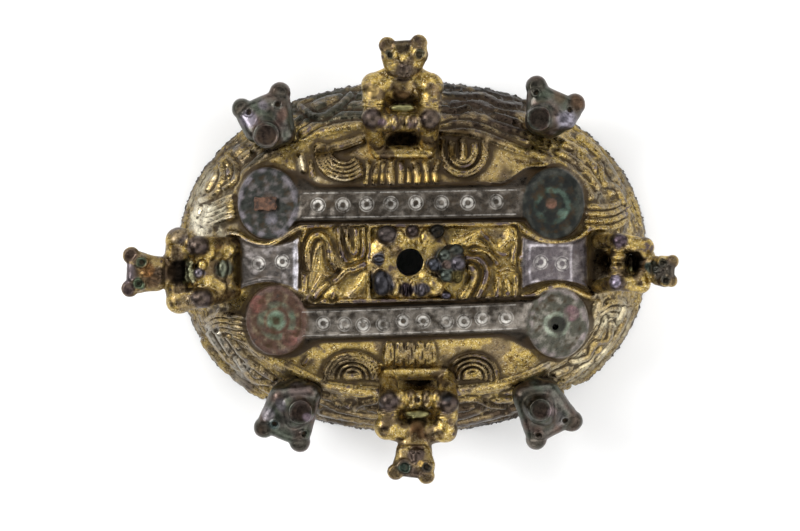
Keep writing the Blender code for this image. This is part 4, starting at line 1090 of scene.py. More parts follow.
# Plan places across and along each beast's heading: pairs for the left and right ears, eyes,
# shoulders, knees and feet; jaw, snout, chest and rump on the middle line; the grip is the
# reach of the fingers over the shins, and the limb is half the thickness of a leg
BEASTS = (
    Beast("north", 0, ((-5.2, 46.8), (1.5, 47.3)), ((-4.6, 44.7), (1.6, 44.8)), (1.0, 1.15),
          (-1.9, 41.9), 2.2, (-1.6, 40.7), ((-8.0, 38.2), (3.9, 38.1)), (-1.9, 37.6),
          ((-8.4, 31.3), (3.9, 31.1)), 2.45, ((-7.5, 23.8), (3.4, 23.8)), (28.3, 32.4),
          (-1.9, 31.0), 2.1),
    Beast("west", 90, ((-5.2, 60.4), (1.9, 60.1)), ((-4.1, 58.4), (0.4, 57.8)), (1.3, 1.35),
          (-2.1, 54.6), 2.0, (-2.5, 54.2), ((-8.0, 50.2), (4.9, 50.2)), (-1.8, 51.6),
          ((-7.5, 45.3), (3.8, 46.0)), 2.1, ((-6.3, 39.2), (3.3, 39.2)), (42.8, 47.6),
          (-1.7, 45.0), 2.1),
    Beast("south", 180, ((-3.2, 45.5), (3.4, 44.6)), ((-3.2, 43.4), (1.5, 43.5)), (1.05, 1.55),
          (-0.3, 40.6), 2.1, (-1.0, 40.5), ((-7.1, 36.0), (5.3, 35.4)), (-1.2, 36.2),
          ((-8.0, 30.2), (4.9, 29.6)), 2.25, ((-7.2, 24.2), (5.2, 24.3)), (27.0, 31.6),
          (-1.3, 29.6), 2.05),
    Beast("east", -90, ((-0.7, 55.8), (3.4, 55.5)), ((-0.4, 53.6), (3.4, 54.3)), (0.95, 1.05),
          (1.5, 52.6), 1.7, (1.5, 52.4), ((-3.5, 50.0), (4.3, 49.3)), (0.2, 50.6),
          ((-4.9, 44.6), (4.2, 44.2)), 1.7, ((-4.5, 40.6), (5.4, 40.6)), (42.6, 46.2),
          (-0.3, 44.0), 1.6),
)
# Levels that the figures share, figures whose feet a bar joins, fingers on a hand, and the
# limb for which the sizes of a head are given
FOOT_HEIGHT = 21.0
FOOT_BAR_HEIGHT = 22.8
FOOT_BARS = ("north", "south")
KNEE_HEIGHT = 29.0
SHOULDER_HEIGHT = 27.6
CHEST_HEIGHT = 26.0
RUMP_HEIGHT = 15.5
HEAD_HEIGHT = 32.0
FULL_LIMB = 2.1
FINGERS = 2
# Distance from jaw to neck, and places of the cuffs as shares of the way up each arm
NECK_DROP = {"north": 1.6, "south": 3.6, "west": 3.4, "east": 2.4}
CUFFS = {"north": (0.39, 0.53), "south": (0.39, 0.53), "west": (0.5,), "east": ()}
# How finely a blank is melted, how often its skin and its lift are averaged, and the sheet
# of dome that its foot is cut with
BEAST_VOXEL = 0.19
MELT_ROUNDS = 3
MOUNT_LIFT_ROUNDS = 40
SEAT_STEPS = 60
SEAT_INSET = 0.35
# Single colours that one figure has in its own heading, with painted shade and painted highlights
# among them: place, reach, colour and strength
OWN_COLOURS_AND_PAINTED_LIGHT = {
    # North: the pale gold on the left shoulder is a painted highlight
    "north": (((-8.3, 37.2), 1.6, "#b59b62", 0.8), ((4.4, 37.4), 1.8, "#4c3a34", 0.7),
              ((-6.3, 30.3), 1.3, "#63535e", 0.8), ((0.2, 30.3), 1.6, "#4d4044", 0.8)),
    # South: the pale gold spot on the snout, at (-1.8, 42.6), is a painted highlight
    "south": (((-1.9, 40.9), 1.1, "#26211f", 0.95), ((-0.2, 40.9), 1.1, "#26211f", 0.95),
              ((-7.4, 28.6), 1.6, "#26282a", 0.8), ((6.0, 36.0), 1.6, "#352b22", 0.7),
              ((-6.0, 36.8), 1.4, "#3a302c", 0.7), ((-0.6, 42.6), 4.4, "#574a42", 0.6),
              ((-1.8, 42.6), 0.8, "#c9a860", 0.7), ((-1.0, 37.4), 3.0, "#432d1d", 0.5),
              ((1.5, 43.5), 1.4, "#3c4a41", 0.9), ((-3.2, 43.4), 1.0, "#22231f", 0.9)),
    # West: the near-black patch at (-1.6, 50.0) is painted shade in the hollow between chest and
    # hands; the pale lilac between the ears is a painted highlight
    "west": (((-1.6, 50.0), 3.4, "#0f0c09", 1.0), ((-1.8, 61.2), 2.6, "#857e88", 0.9),
             ((-2.0, 45.9), 1.6, "#645f68", 0.9), ((-1.2, 40.9), 2.5, "#565c50", 0.95),
             ((0.0, 47.8), 1.2, "#8c8c6e", 0.8), ((-1.6, 48.0), 1.2, "#8c8c6e", 0.8),
             ((-3.3, 47.6), 1.4, "#8c8c6e", 0.8), ((0.2, 42.8), 1.2, "#34241a", 0.8),
             ((-1.6, 43.2), 1.2, "#34241a", 0.8), ((3.6, 41.9), 0.8, "#3a2a1c", 0.6),
             ((1.9, 41.9), 0.8, "#3a2a1c", 0.6), ((4.6, 41.0), 2.2, "#5a3c20", 0.6),
             ((-3.4, 55.4), 2.0, "#54402c", 0.7), ((-7.4, 41.0), 2.4, "#4a3418", 0.6),
             ((-1.6, 57.0), 6.5, "#4a3a2a", 0.5), ((-1.0, 56.6), 2.2, "#7d552c", 0.5),
             ((6.2, 50.0), 2.6, "#5f595a", 0.7), ((-8.6, 48.6), 2.6, "#5d5654", 0.6),
             ((1.9, 60.4), 1.9, "#5a4c46", 0.7), ((-5.2, 60.8), 1.9, "#5c5052", 0.7),
             ((0.4, 57.8), 1.4, "#55604f", 0.85), ((0.4, 57.8), 0.5, "#161a14", 0.95),
             ((-4.1, 58.4), 1.4, "#4f5c49", 0.85), ((-4.1, 58.4), 0.5, "#161a14", 0.95)),
    # East: the near-black patch at (-0.7, 48.0) is painted shade in the hole between chest and
    # hands; the pale lilac at (3.8, 43.6) is a painted highlight
    "east": (((-0.7, 48.0), 2.6, "#15110c", 1.0), ((0.7, 51.6), 1.8, "#2b3834", 0.9),
             ((1.6, 54.0), 3.0, "#45413b", 0.8), ((3.8, 43.6), 1.6, "#857d8c", 0.8),
             ((-5.0, 44.6), 1.8, "#4c4148", 0.9)),
}


def ball(bm, centre, radii):
    """An ellipsoid; one radius gives a sphere."""
    radii = radii if isinstance(radii, tuple) else (radii,) * 3
    form = Matrix.Translation(centre) @ Matrix.Diagonal((*radii, 1.0))
    return bmesh.ops.create_icosphere(bm, subdivisions=3, radius=1.0, matrix=form)["verts"]


def round_ways():
    """Directions spread evenly over a ball."""
    bm = bmesh.new()
    ways = [vert.co.copy() for vert in ball(bm, (0, 0, 0), 1.0)]
    bm.free()
    return ways


ROUND_WAYS = round_ways()


def hull(bm, *balls):
    """The tight skin round several balls, given as centre and radius."""
    verts = [bm.verts.new(Vector(centre) + radius * way)
             for centre, radius in balls for way in ROUND_WAYS]
    skin = bmesh.ops.convex_hull(bm, input=verts, use_existing_faces=False)
    unused = skin["geom_interior"] + skin["geom_unused"]
    inside = {part for part in unused if isinstance(part, bmesh.types.BMVert)}
    bmesh.ops.delete(bm, geom=list(inside), context="VERTS")


def melt(name, bm, voxel, turn=Matrix()):
    """Melts a blank of overlapping shapes into one closed casting."""
    bmesh.ops.transform(bm, matrix=turn, verts=bm.verts)
    casting = write_mesh(name, bm)
    step = casting.modifiers.new("melt", "REMESH")
    step.mode = "VOXEL"
    step.voxel_size = voxel * MM
    settle(casting)
    write_points(casting.data, spread(casting.data, read_points(casting.data), MELT_ROUNDS))
    return casting


def at(spot, height):
    """A plan place at a height."""
    return Vector((*spot, height))


def beast_limbs(bm, b, side):
    """The leg, the cuffed arm and the half of the trunk on one side, -1 left or 1 right."""
    left_or_right = (side + 1) // 2
    knee = at(b.knees[left_or_right], KNEE_HEIGHT)
    foot = at(b.feet[left_or_right], FOOT_HEIGHT)
    shoulder = at(b.shoulders[left_or_right], SHOULDER_HEIGHT)
    hull(bm, (foot, b.limb), (knee + Vector((0, -0.3, -0.4)), 1.05 * b.limb))
    ball(bm, knee, b.knee_size)
    hull(bm, (knee + Vector((0, 0.8, -0.6)), 1.05 * b.limb), (shoulder, 1.25 * b.limb))
    for share in CUFFS[b.name]:
        cuff = knee.lerp(shoulder, share) + Vector((0, 0, -0.2))
        ball(bm, cuff, (1.24 * b.limb, 0.5, 1.24 * b.limb))
    ball(bm, shoulder, 1.42 * b.limb)
    neck = (b.chest[0] + side * 1.1 * b.limb, b.jaw[1] - NECK_DROP[b.name])
    hull(bm, (shoulder, 1.3 * b.limb), (at(neck, CHEST_HEIGHT + 1.2), 1.15 * b.limb))
    chest = at((b.chest[0] + side * 0.9 * b.limb, b.chest[1]), CHEST_HEIGHT)
    rump = at((b.rump[0] + side * 0.8 * b.limb, b.rump[1]), RUMP_HEIGHT)
    hull(bm, (chest, 1.3 * b.limb), (rump, 1.6 * b.limb))


def beast_body(bm, b):
    """Both sides, the bar that joins the feet and the bulging belly between the arms."""
    beast_limbs(bm, b, -1)
    beast_limbs(bm, b, 1)
    if b.name in FOOT_BARS:
        hull(bm, *[(at(foot, FOOT_BAR_HEIGHT), 0.75 * b.limb) for foot in b.feet])
    belly = at((b.chest[0], b.grip[1] + 1.0), CHEST_HEIGHT + 0.8)
    ball(bm, belly, (1.45 * b.limb, 0.55 * b.limb, 1.1))


# The west figure's lap is filled: a bed between the shins, two plates, an oval knob, a small
# one on the hands and a scalloped edge towards the chest
LAP_BED = (((-5.4, 45.0), 26.4), ((2.4, 45.0), 26.4), ((-5.4, 40.6), 22.6), ((2.8, 40.6), 22.6))
LAP_KNOBS = (
    ((2.4, 43.7), (1.9, 1.7, 1.7), 27.2), ((2.6, 40.0), (1.9, 1.8, 1.6), 24.9),
    ((-5.1, 42.6), (2.5, 2.7, 1.9), 25.9), ((-2.0, 45.9), (1.3, 1.2, 1.4), 28.7),
    ((-0.3, 45.2), (1.4, 1.2, 1.5), 28.0), ((-1.2, 40.9), (2.4, 1.35, 1.9), 25.8),
    ((0.2, 47.5), (0.9, 0.8, 1.2), 28.0), ((-1.3, 47.8), (0.9, 0.8, 1.2), 28.0),
    ((-2.8, 47.6), (0.9, 0.8, 1.2), 28.0), ((-4.1, 46.9), (0.9, 0.8, 1.2), 28.0),
)


def fill_lap(bm):
    """The bed and the knobs between the knees and the feet of the west figure."""
    hull(bm, *[(at(spot, height), 2.0) for spot, height in LAP_BED])
    for spot, radii, height in LAP_KNOBS:
        ball(bm, at(spot, height), radii)


def beast_hands(bm, b):
    """Two hands side by side, the fingers curled over the shins."""
    near, far = b.grip
    middle = (near + far) / 2
    inner = [spot[0] - side * 0.7 * b.knee_size for side, spot in zip((-1, 1), b.knees)]
    hull(bm, *[(at((across, middle), KNEE_HEIGHT - 1.1), 0.9 * b.limb) for across in inner])
    size = (inner[1] - inner[0]) / (4 * FINGERS + 1)
    for side, start in zip((1, -1), inner):
        for finger in range(FINGERS):
            across = start + side * size * (1 + 2 * finger)
            ball(bm, at((across, middle), KNEE_HEIGHT - 0.4), (1.25 * size, (far - near) / 2, 2.0))


def beast_head(bm, b):
    """A wedge with full cheeks, a raised snout, a brow and two round ears."""
    size = b.limb / FULL_LIMB
    temples = [at(eye, HEAD_HEIGHT - 0.6) for eye in b.eyes]
    jaws = [at((b.jaw[0] + side * b.jaw_half, b.jaw[1]), HEAD_HEIGHT - 1.4) for side in (-1, 1)]
    tip = at(b.snout, HEAD_HEIGHT - 0.2)
    hull(bm, *[(spot, 2.0 * size) for spot in temples], *[(spot, 1.7 * size) for spot in jaws],
         (tip + Vector((0, 0.3, -0.6)), 1.5 * size))
    low = Vector((0, 0, -2.6 * size))
    hull(bm, *[(spot + low, 1.5 * size) for spot in temples],
         *[(spot + low, 1.7 * size) for spot in jaws],
         (at(b.chest, CHEST_HEIGHT + 0.8), 1.45 * b.limb))
    middle = (temples[0] + temples[1]) / 2
    hull(bm, (tip + Vector((0, 0.2, 0.2)), 1.5 * size),
         (tip.lerp(middle, 0.75) + Vector((0, 0, 1.3)), 1.0 * size))
    ball(bm, tip, (1.75 * size, 1.3 * size, 1.6 * size))
    ears = [at(ear, HEAD_HEIGHT + 0.3) for ear in b.ears]
    crown = [ear.lerp(other, 0.3) + Vector((0, -0.5 * size, 0))
             for ear, other in zip(ears, ears[::-1])]
    hull(bm, *[(spot, 1.35 * size) for spot in crown],
         *[(spot.lerp(middle, 0.2), 1.7 * size) for spot in temples])
    for ear, temple, jaw, eye_size in zip(ears, temples, jaws, b.eye_sizes):
        ball(bm, ear, (1.9 * size, 1.85 * size, 1.4 * size))
        hull(bm, (temple, 1.9 * size), (ear.lerp(temple, 0.35), 1.7 * size))
        hull(bm, (ear.lerp(temple, 0.25) - Vector((0, 0, 0.6)), 1.6 * size), (jaw, 1.5 * size))
        ball(bm, temple + Vector((0, 0, 1.5 * size)), (1.15 * eye_size, 1.15 * eye_size, 0.9))


def beast_blank(b):
    """The whole figure as overlapping shapes, in its own heading."""
    bm = bmesh.new()
    beast_body(bm, b)
    if b.name == "west":
        fill_lap(bm)
    else:
        beast_hands(bm, b)
    beast_head(bm, b)
    return bm


def press(spots, ways, sunk):
    """Moves points along their normals: outward above zero, inward below."""
    return spots + sunk[:, None] * ways


def eye_marks(u, v, eye, size):
    """A raised ring round a drilled pupil."""
    reach = away_from(u, v, eye) / size
    return 0.22 * bead(np.abs(reach - 1.0), 0.3) - 0.75 * fade(reach, 0.45, 0.75)


def engrave_beast(mesh, b, turn):
    """Cuts the eyes, ear hollows, nostrils, brow and mouth into the cast figure."""
    spots, ways = read_points(mesh), read_normals(mesh)
    local = spots @ np.array(turn.to_3x3())
    u, v, z = local.T
    size = b.limb / FULL_LIMB
    up = np.clip(ways[:, 2] * 1.6, 0, 1)
    head = (z > HEAD_HEIGHT - 1.0) * up
    sunk = 0.03 * blur_noise(spots, 0.9, 3) + 0.08 * blur_noise(spots, 2.4, 4)
    for eye, eye_size in zip(b.eyes, b.eye_sizes):
        sunk += head * eye_marks(u, v, eye, eye_size)
    for ear in b.ears:
        sunk -= head * 0.45 * bead(away_from(u, v, ear), 1.2 * size)
    for side in (-1, 1):
        nostril = (b.snout[0] + side * 0.75 * size, b.snout[1] - 0.3)
        sunk -= head * 0.4 * bead(away_from(u, v, nostril), 0.45 * size)
        brow = curve_through([(b.snout[0] + side * 0.4, b.snout[1] + 2.0 * size),
                              (b.snout[0] + side * 1.6 * size, b.snout[1] + 2.5 * size),
                              (b.snout[0] + side * 2.8 * size, b.snout[1] + 2.0 * size)])
        sunk -= head * 0.2 * bead(line_distance(u, v, brow), 0.3)
    mouth = [(b.snout[0] + side * 1.5 * size, b.snout[1] - 1.0) for side in (-1, 1)]
    sunk -= (z > HEAD_HEIGHT - 2.5) * 0.3 * bead(line_distance(u, v, mouth), 0.3)
    write_points(mesh, press(spots, ways, sunk))


def make_seat():
    """The plain dome, a hair below the shell's face, which shapes the feet of the mounts."""
    bm = bmesh.new()
    border = dome_sheet(bm, SEAT_STEPS, inset=SEAT_INSET)
    bmesh.ops.edgeloop_fill(bm, edges=border)
    return write_mesh("seat", bm)


def seat_on_dome(casting, *drills):
    """Shapes the casting's foot to the dome and drills what holes it has."""
    cutters = [make_seat(), *drills]
    for cutter in cutters:
        cut(casting, cutter)
    settle(casting, cutters)


def rub_tarnish_and_shade(thing, places, bare_hex, tarnished):
    """Keeps lift and patina: bronze bare, painted shade and painted highlights on the given places,
    and painted shade with some dirt on the low parts.
    """
    spots = read_points(thing.data)
    store(thing.data, "lift", find_lift(thing.data, MOUNT_LIFT_ROUNDS))
    colours = np.tile(np.array([*linear(bare_hex)[:3], 0.0]), (len(spots), 1))
    patches = blur_noise(spots, 1.6, 7)
    stains = blur_noise(spots, 3.2, 11) + 0.5 * patches
    paint(colours, "#4a3d30", np.clip(3.0 * stains - 0.2, 0, tarnished))
    for spot, radius, hex_colour, strength in places:
        away = away_from(*spots.T[:2], spot) + 0.5 * patches
        paint(colours, hex_colour, strength * fade(away, 0.6 * radius, radius))
    # Painted shade, with some dirt, on the low parts under the hands and chest: full below 20 mm,
    # none above 25 mm
    low_shade = fade(spots[:, 2], 20.0, 25.0) * (np.hypot(spots[:, 0], spots[:, 1]) > 12)
    paint(colours, "#2a2118", low_shade * (0.55 + 0.6 * patches))
    store(thing.data, "patina", colours)


def rubbed_places_and_painted_light(b):
    """Where the gilding is gone, and where shade and highlights are painted, in the figure's own
    heading.
    """
    size = b.limb / FULL_LIMB
    between_ears = [(a + c) / 2 for a, c in zip(*b.ears)]
    hands = (b.chest[0], (b.grip[0] + b.grip[1]) / 2)
    # The near-black patch beyond the hands is painted shade in the hollow under the chest; the dark
    # spot between the hands is painted shade in the gap between them
    places = [((b.chest[0], b.grip[1] + 2.6), 3.0 * size, "#1a140e", 0.95),
              (b.chest, 2.6 * size, "#4a3620", 0.6),
              (between_ears, 2.4 * size, "#2c2824", 0.9),
              ((b.snout[0], b.snout[1] + 0.5), 2.6 * size, "#4a4039", 0.95),
              (hands, 0.8, "#1d1610", 0.9)]
    places += [((b.chest[0] + step * size, b.grip[1] + 1.0), 1.1 * size, "#8f8b60", 0.9)
               for step in (-1.8, -0.6, 0.6, 1.8)]
    places += [(knee, 3.1 * size, "#443b39", 0.95) for knee in b.knees]
    places += [(ear, 2.0 * size, "#54463c", 0.75) for ear in b.ears]
    places += [(eye, 1.3 * wide, "#2b332c", 0.9) for eye, wide in zip(b.eyes, b.eye_sizes)]
    return places + list(OWN_COLOURS_AND_PAINTED_LIGHT[b.name])


def make_beast(b):
    """Models, engraves, seats and stains one figure, and paints its shade and highlights."""
    turn = Matrix.Rotation(math.radians(b.heading), 4, "Z")
    figure = melt("beast_" + b.name, beast_blank(b), BEAST_VOXEL, turn)
    engrave_beast(figure.data, b, turn)
    seat_on_dome(figure)
    places = [((turn @ Vector((*spot, 0))).xy, radius, colour, strength)
              for spot, radius, colour, strength in rubbed_places_and_painted_light(b)]
    rub_tarnish_and_shade(figure, places, "#4a3d3a", 0.85)
    return figure


# The eye sees soft old gold with rubbed grey-violet bronze on all that stands out
beast_bronze, _, _ = gilded_bronze(
    "fire_gilded_bronze_beasts", wear=0.16, grime_and_shade=0.8, bare_hex="#54494a", rough=(0.3, 0.46),
    relief=(0.3, 0.12))
for beast in BEASTS:
    figure = make_beast(beast)
    dress(figure, beast_bronze)
    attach(figure, "root")
    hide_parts("seated_beast_" + beast.name)


# Bear heads: four plain bronze castings on the diagonals, never gilded. A broad wedge with
# round ears, punched eyes and a thick muzzle that points up and ends in a flat disc.

Bear = namedtuple("Bear", "name ears eyes jaws muzzle end_radius collar_radius")
BEARS = (
    Bear("nw", ((-37.0, 33.3), (-28.8, 36.8)), ((-35.4, 32.6), (-29.1, 34.3)),
         ((-33.8, 28.6), (-28.0, 28.1)), (-31.4, 27.6), 2.8, 3.1),
    Bear("ne", ((27.1, 38.2), (35.5, 34.3)), ((26.9, 36.9), (34.3, 33.1)),
         ((27.4, 30.4), (33.2, 31.2)), (27.4, 31.2), 2.6, 2.9),
    Bear("sw", ((-24.6, -39.6), (-32.4, -36.4)), ((-23.4, -37.6), (-30.0, -35.4)),
         ((-22.4, -29.0), (-28.6, -29.6)), (-24.1, -32.4), 2.6, 3.1),
    Bear("se", ((35.1, -35.0), (27.2, -39.0)), ((33.4, -34.6), (27.6, -37.8)),
         ((29.7, -28.6), (24.6, -29.2)), (27.9, -31.9), 2.4, 3.5),
)
EAR_HEIGHT = 19.5
FACE_HEIGHT = 21.0
MUZZLE_TOP = 26.2
BEAR_VOXEL = 0.22
# Depth of the dish in the muzzle's end
MUZZLE_DISH = {"nw": 0.2, "ne": 0.08, "sw": 0.08, "se": 0.08}
# Stains that one head has, and its painted highlights, the pale lilac-grey marks on cheeks, brow,
# muzzle and ears: place, reach, colour and strength
BEAR_STAINS_AND_HIGHLIGHTS = {
    "nw": (((-35.6, 31.0), 2.4, "#857f8a", 0.8), ((-31.0, 31.6), 1.8, "#30372e", 0.8),
           ((-27.9, 32.0), 1.9, "#6a5248", 0.7), ((-32.4, 34.0), 1.6, "#6f6870", 0.6)),
    "ne": (((36.2, 34.8), 2.6, "#574232", 0.7), ((32.2, 36.0), 2.3, "#544636", 0.7),
           ((33.6, 30.8), 2.8, "#7f7b86", 0.8), ((27.4, 31.4), 2.6, "#3a342e", 0.8),
           ((28.2, 36.0), 2.0, "#3c4338", 0.7)),
    "sw": (((-31.2, -33.0), 2.0, "#8f8a8e", 0.8), ((-28.4, -31.2), 1.7, "#858085", 0.7),
           ((-22.6, -33.6), 1.3, "#8a7a84", 0.8), ((-24.8, -28.4), 3.2, "#5a4e4b", 0.8),
           ((-30.2, -35.6), 1.8, "#3f4f50", 0.6)),
    "se": (((30.4, -32.4), 1.3, "#8a7a7c", 0.7), ((32.4, -34.0), 2.0, "#6f6c6a", 0.7),
           ((26.4, -39.6), 1.6, "#7c746a", 0.6), ((25.6, -29.4), 3.6, "#33312a", 0.8)),
}


def bear_blank(bear):
    """The head as a hull of a few balls, with ears, a muzzle and a neck that runs down."""
    bm = bmesh.new()
    ears = [at(ear, EAR_HEIGHT) for ear in bear.ears]
    jaws = [at(jaw, FACE_HEIGHT) for jaw in bear.jaws]
    brow, chin = (ears[0] + ears[1]) / 2, (jaws[0] + jaws[1]) / 2
    inward = (at(chin.xy, 0) - at(brow.xy, 0)).normalized()
    temples = [ear.lerp(brow, 0.16) + 1.5 * inward + Vector((0, 0, 0.6)) for ear in ears]
    down = Vector((0, 0, -4.0))
    hull(bm, *[(spot, 2.5) for spot in temples], *[(spot, 2.7) for spot in jaws],
         *[(spot + down, 1.9) for spot in temples], *[(spot + down, 2.6) for spot in jaws])
    hull(bm, *[(spot, 2.5) for spot in jaws], (chin + 1.2 * inward + down / 3, 2.8),
         *[(spot + 2.2 * down, 2.7) for spot in jaws])
    for ear, temple in zip(ears, temples):
        hull(bm, (ear, 2.35), (ear.lerp(brow, 0.1) + 0.4 * inward, 2.3), (temple, 2.2))
    hull(bm, (brow + 1.8 * inward + Vector((0, 0, 1.4)), 1.8),
         (brow.lerp(chin, 0.55) + Vector((0, 0, 0.9)), 2.2))
    nose = at(bear.muzzle, FACE_HEIGHT + 1.9)
    hull(bm, (nose.lerp(brow, 0.3), 2.5), (nose, 0.95 * bear.collar_radius),
         *[(spot.lerp(nose, 0.2), 2.1) for spot in jaws])
    middle = Matrix.Translation(at(bear.muzzle, (MUZZLE_TOP + FACE_HEIGHT) / 2))
    bmesh.ops.create_cone(
        bm, cap_ends=True, segments=64, radius1=bear.collar_radius, radius2=bear.end_radius,
        depth=MUZZLE_TOP - FACE_HEIGHT, matrix=middle)
    return bm


def engrave_bear(mesh, bear):
    """Cuts the ringed eyes, the hollows of the ears and the shallow dish in the muzzle."""
    spots, ways = read_points(mesh), read_normals(mesh)
    x, y, z = spots.T
    up = np.clip(ways[:, 2] * 1.6, 0, 1)
    sunk = 0.03 * blur_noise(spots, 1.1, 5) + 0.12 * blur_noise(spots, 2.8, 6)
    for eye in bear.eyes:
        sunk += up * eye_marks(x, y, eye, 0.85)
    for ear in bear.ears:
        sunk -= up * 0.3 * bead(away_from(x, y, ear), 1.3)
    reach = away_from(x, y, bear.muzzle)
    dish = fade(reach, bear.end_radius - 0.7, bear.end_radius - 0.4)
    sunk -= MUZZLE_DISH[bear.name] * dish * (z > MUZZLE_TOP - 0.6)
    write_points(mesh, press(spots, ways, sunk))


def stain_and_highlight_bear(mesh, bear):
    """Keeps lift and patina: grey, green and brown bronze, darkest on the muzzle's end, with the
    head's painted highlights.
    """
    spots = read_points(mesh)
    store(mesh, "lift", find_lift(mesh, MOUNT_LIFT_ROUNDS))
    patches = blur_noise(spots, 2.4, 9)
    colours = np.tile(np.array([*linear("#57544e")[:3], 1.0]), (len(spots), 1))
    paint(colours, "#474b42", np.clip(2.0 * patches, 0, 1))
    paint(colours, "#594b44", np.clip(-2.0 * patches, 0, 1))
    away = away_from(*spots.T[:2], bear.muzzle)
    paint(colours, "#362b26", 0.85 * fade(away, bear.end_radius - 0.9, bear.end_radius - 0.2))
    for ear in bear.ears:
        away = away_from(*spots.T[:2], ear)
        paint(colours, "#3f3a33", 0.7 * fade(away, 1.4, 2.4))
    # Stains, and the pale lilac-grey painted highlights
    for spot, radius, hex_colour, strength in BEAR_STAINS_AND_HIGHLIGHTS[bear.name]:
        away = away_from(*spots.T[:2], spot) + 0.6 * patches
        paint(colours, hex_colour, strength * fade(away, 0.4 * radius, radius))
    store(mesh, "patina", colours)


# The patina hides all gilding: the eye sees smooth grey-brown metal, with green in patches
bear_bronze, _, _ = gilded_bronze(
    "dark_cast_bronze", wear=0.2, grime_and_shade=1.2, bare_hex="#55524c", rough=(0.28, 0.42),
    relief=(0.3, 0.14))
for bear in BEARS:
    head = melt("bear_" + bear.name, bear_blank(bear), BEAR_VOXEL)
    engrave_bear(head.data, bear)
    seat_on_dome(head)
    stain_and_highlight_bear(head.data, bear)
    dress(head, bear_bronze)
    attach(head, "root")
    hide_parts("bear_head_" + bear.name)


# Centre beast: a low bronze casting, gilded, round the hole of the lost rivet that held it.
# Its joints are bare round knobs, and its head is a cluster of pellets to the east.

CENTRE_HOLE = (-0.3, 0.3)
CENTRE_BORE_RADIUS = 3.05
CENTRE_BORE_HEIGHTS = (20.0, 40.0)
# Flat body: middle and radii. Knobs and face: place, radii, height and bare colour, if any.
# Ribs run from the knobs towards the hole: height of each end. Dimples: place and reach
CENTRE_BODY = ((-0.6, 0.2, 27.6), (9.6, 8.6, 2.2))
CENTRE_RIB_HEIGHTS = (28.3, 28.2)
CENTRE_DIMPLES = (((5.6, 6.6), 0.9), ((9.9, -2.7), 0.6))
CENTRE_KNOBS = (
    ((-5.3, 6.3), (2.4, 2.0, 2.1), 29.3, "#443d3a"),
    ((-6.5, -4.1), (2.0, 3.0, 2.1), 29.3, "#363538"),
    ((-7.0, 1.0), (1.4, 0.8, 1.0), 29.6, "#45454a"),
    ((0.2, 7.0), (1.5, 1.4, 1.4), 29.3, "#3f3633"),
    ((-2.6, 5.6), (1.2, 1.8, 1.3), 29.2, ""),
    ((2.8, 5.5), (1.2, 1.8, 1.3), 29.2, ""),
    ((5.5, 7.0), (1.8, 1.5, 1.4), 29.3, "#1f1d1a"),
    ((-3.5, -5.0), (1.3, 2.2, 1.6), 29.2, ""),
    ((-1.3, -5.6), (0.6, 1.7, 1.0), 29.0, "#2c2528"),
    ((0.4, -5.3), (0.9, 2.0, 1.4), 29.2, ""),
    ((2.2, -5.5), (1.0, 1.6, 1.4), 29.3, "#494549"),
    ((4.9, -4.6), (2.1, 2.5, 1.7), 29.1, ""),
    ((7.4, -6.8), (1.2, 0.9, 1.1), 29.2, "#48444c"),
)
CENTRE_FACE = (
    ((8.5, 0.1), (3.2, 4.2, 2.2), 29.8, "#34322f"),
    ((4.8, -0.1), (1.5, 1.6, 1.5), 30.4, "#3b3c41"),
    ((7.1, 2.0), (1.5, 1.4, 1.4), 31.2, "#444842"),
    ((9.6, 3.0), (1.7, 1.4, 1.4), 30.9, "#31332f"),
    ((7.5, -2.4), (1.6, 1.5, 1.4), 31.2, "#434842"),
    ((7.6, -0.1), (0.9, 0.9, 1.0), 31.4, "#50443f"),
    ((10.1, 0.2), (1.6, 1.6, 1.4), 31.1, "#4c484c"),
    ((9.9, -2.7), (1.1, 1.5, 1.2), 30.8, "#4a4228"),
)


def centre_blank():
    """The flat body, the knobs with their ribs and the pellets of the face."""
    bm = bmesh.new()
    ball(bm, *CENTRE_BODY)
    for spot, radii, height, _ in CENTRE_KNOBS:
        ball(bm, at(spot, height - 0.2), radii)
        reach = Vector(spot).lerp(Vector(CENTRE_HOLE), 0.35)
        hull(bm, *[(at(end, level), min(radii[:2]))
                   for end, level in zip((spot, reach), CENTRE_RIB_HEIGHTS)])
    for spot, radii, height, _ in CENTRE_FACE:
        ball(bm, at(spot, height), radii)
    return bm


centre_beast = melt("beast_centre", centre_blank(), BEAST_VOXEL)
spots, ways = read_points(centre_beast.data), read_normals(centre_beast.data)
sunk = 0.05 * blur_noise(spots, 0.9, 8)
for spot, reach in CENTRE_DIMPLES:
    sunk -= 0.5 * bead(away_from(*spots.T[:2], spot), reach)
write_points(centre_beast.data, press(spots, ways, sunk))
seat_on_dome(centre_beast, single_form(
    "bore", peg, (*CENTRE_HOLE, 0), CENTRE_BORE_RADIUS, *CENTRE_BORE_HEIGHTS))
rubbed = [((-3.4, 2.4), 1.8, "#3a2618", 0.7)]
rubbed += [(spot, 1.3 * max(radii[:2]), colour, 1.0)
           for spot, radii, _, colour in CENTRE_KNOBS + CENTRE_FACE if colour]
rub_tarnish_and_shade(centre_beast, rubbed, "#5a4a48", 0.35)
dress(centre_beast, beast_bronze)
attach(centre_beast, "root")
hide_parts("seated_beast_centre")


# Rivet stub: the iron rivet that held the lost boss on the upper left disc. Its shank goes
# through the hole; what stays on top is a flat oblong lump of brown rust.

STUB_MIDDLE = (-31.4, 13.1)
STUB_RADIUS = 0.8
STUB_FOOT = 19.0
STUB_VOXEL = 0.16
LUMP_LOW = (-34.0, 11.5, 23.8)
LUMP_HIGH = (-29.4, 14.1, 26.4)
LUMP_GAP = 0.05
# Flakes of rust are about 1.1 mm wide, given as scale per millimetre
FLAKE_SCALE = 0.9
RUST_DARK = "#30221a"
RUST_BROWN = "#6b4b37"

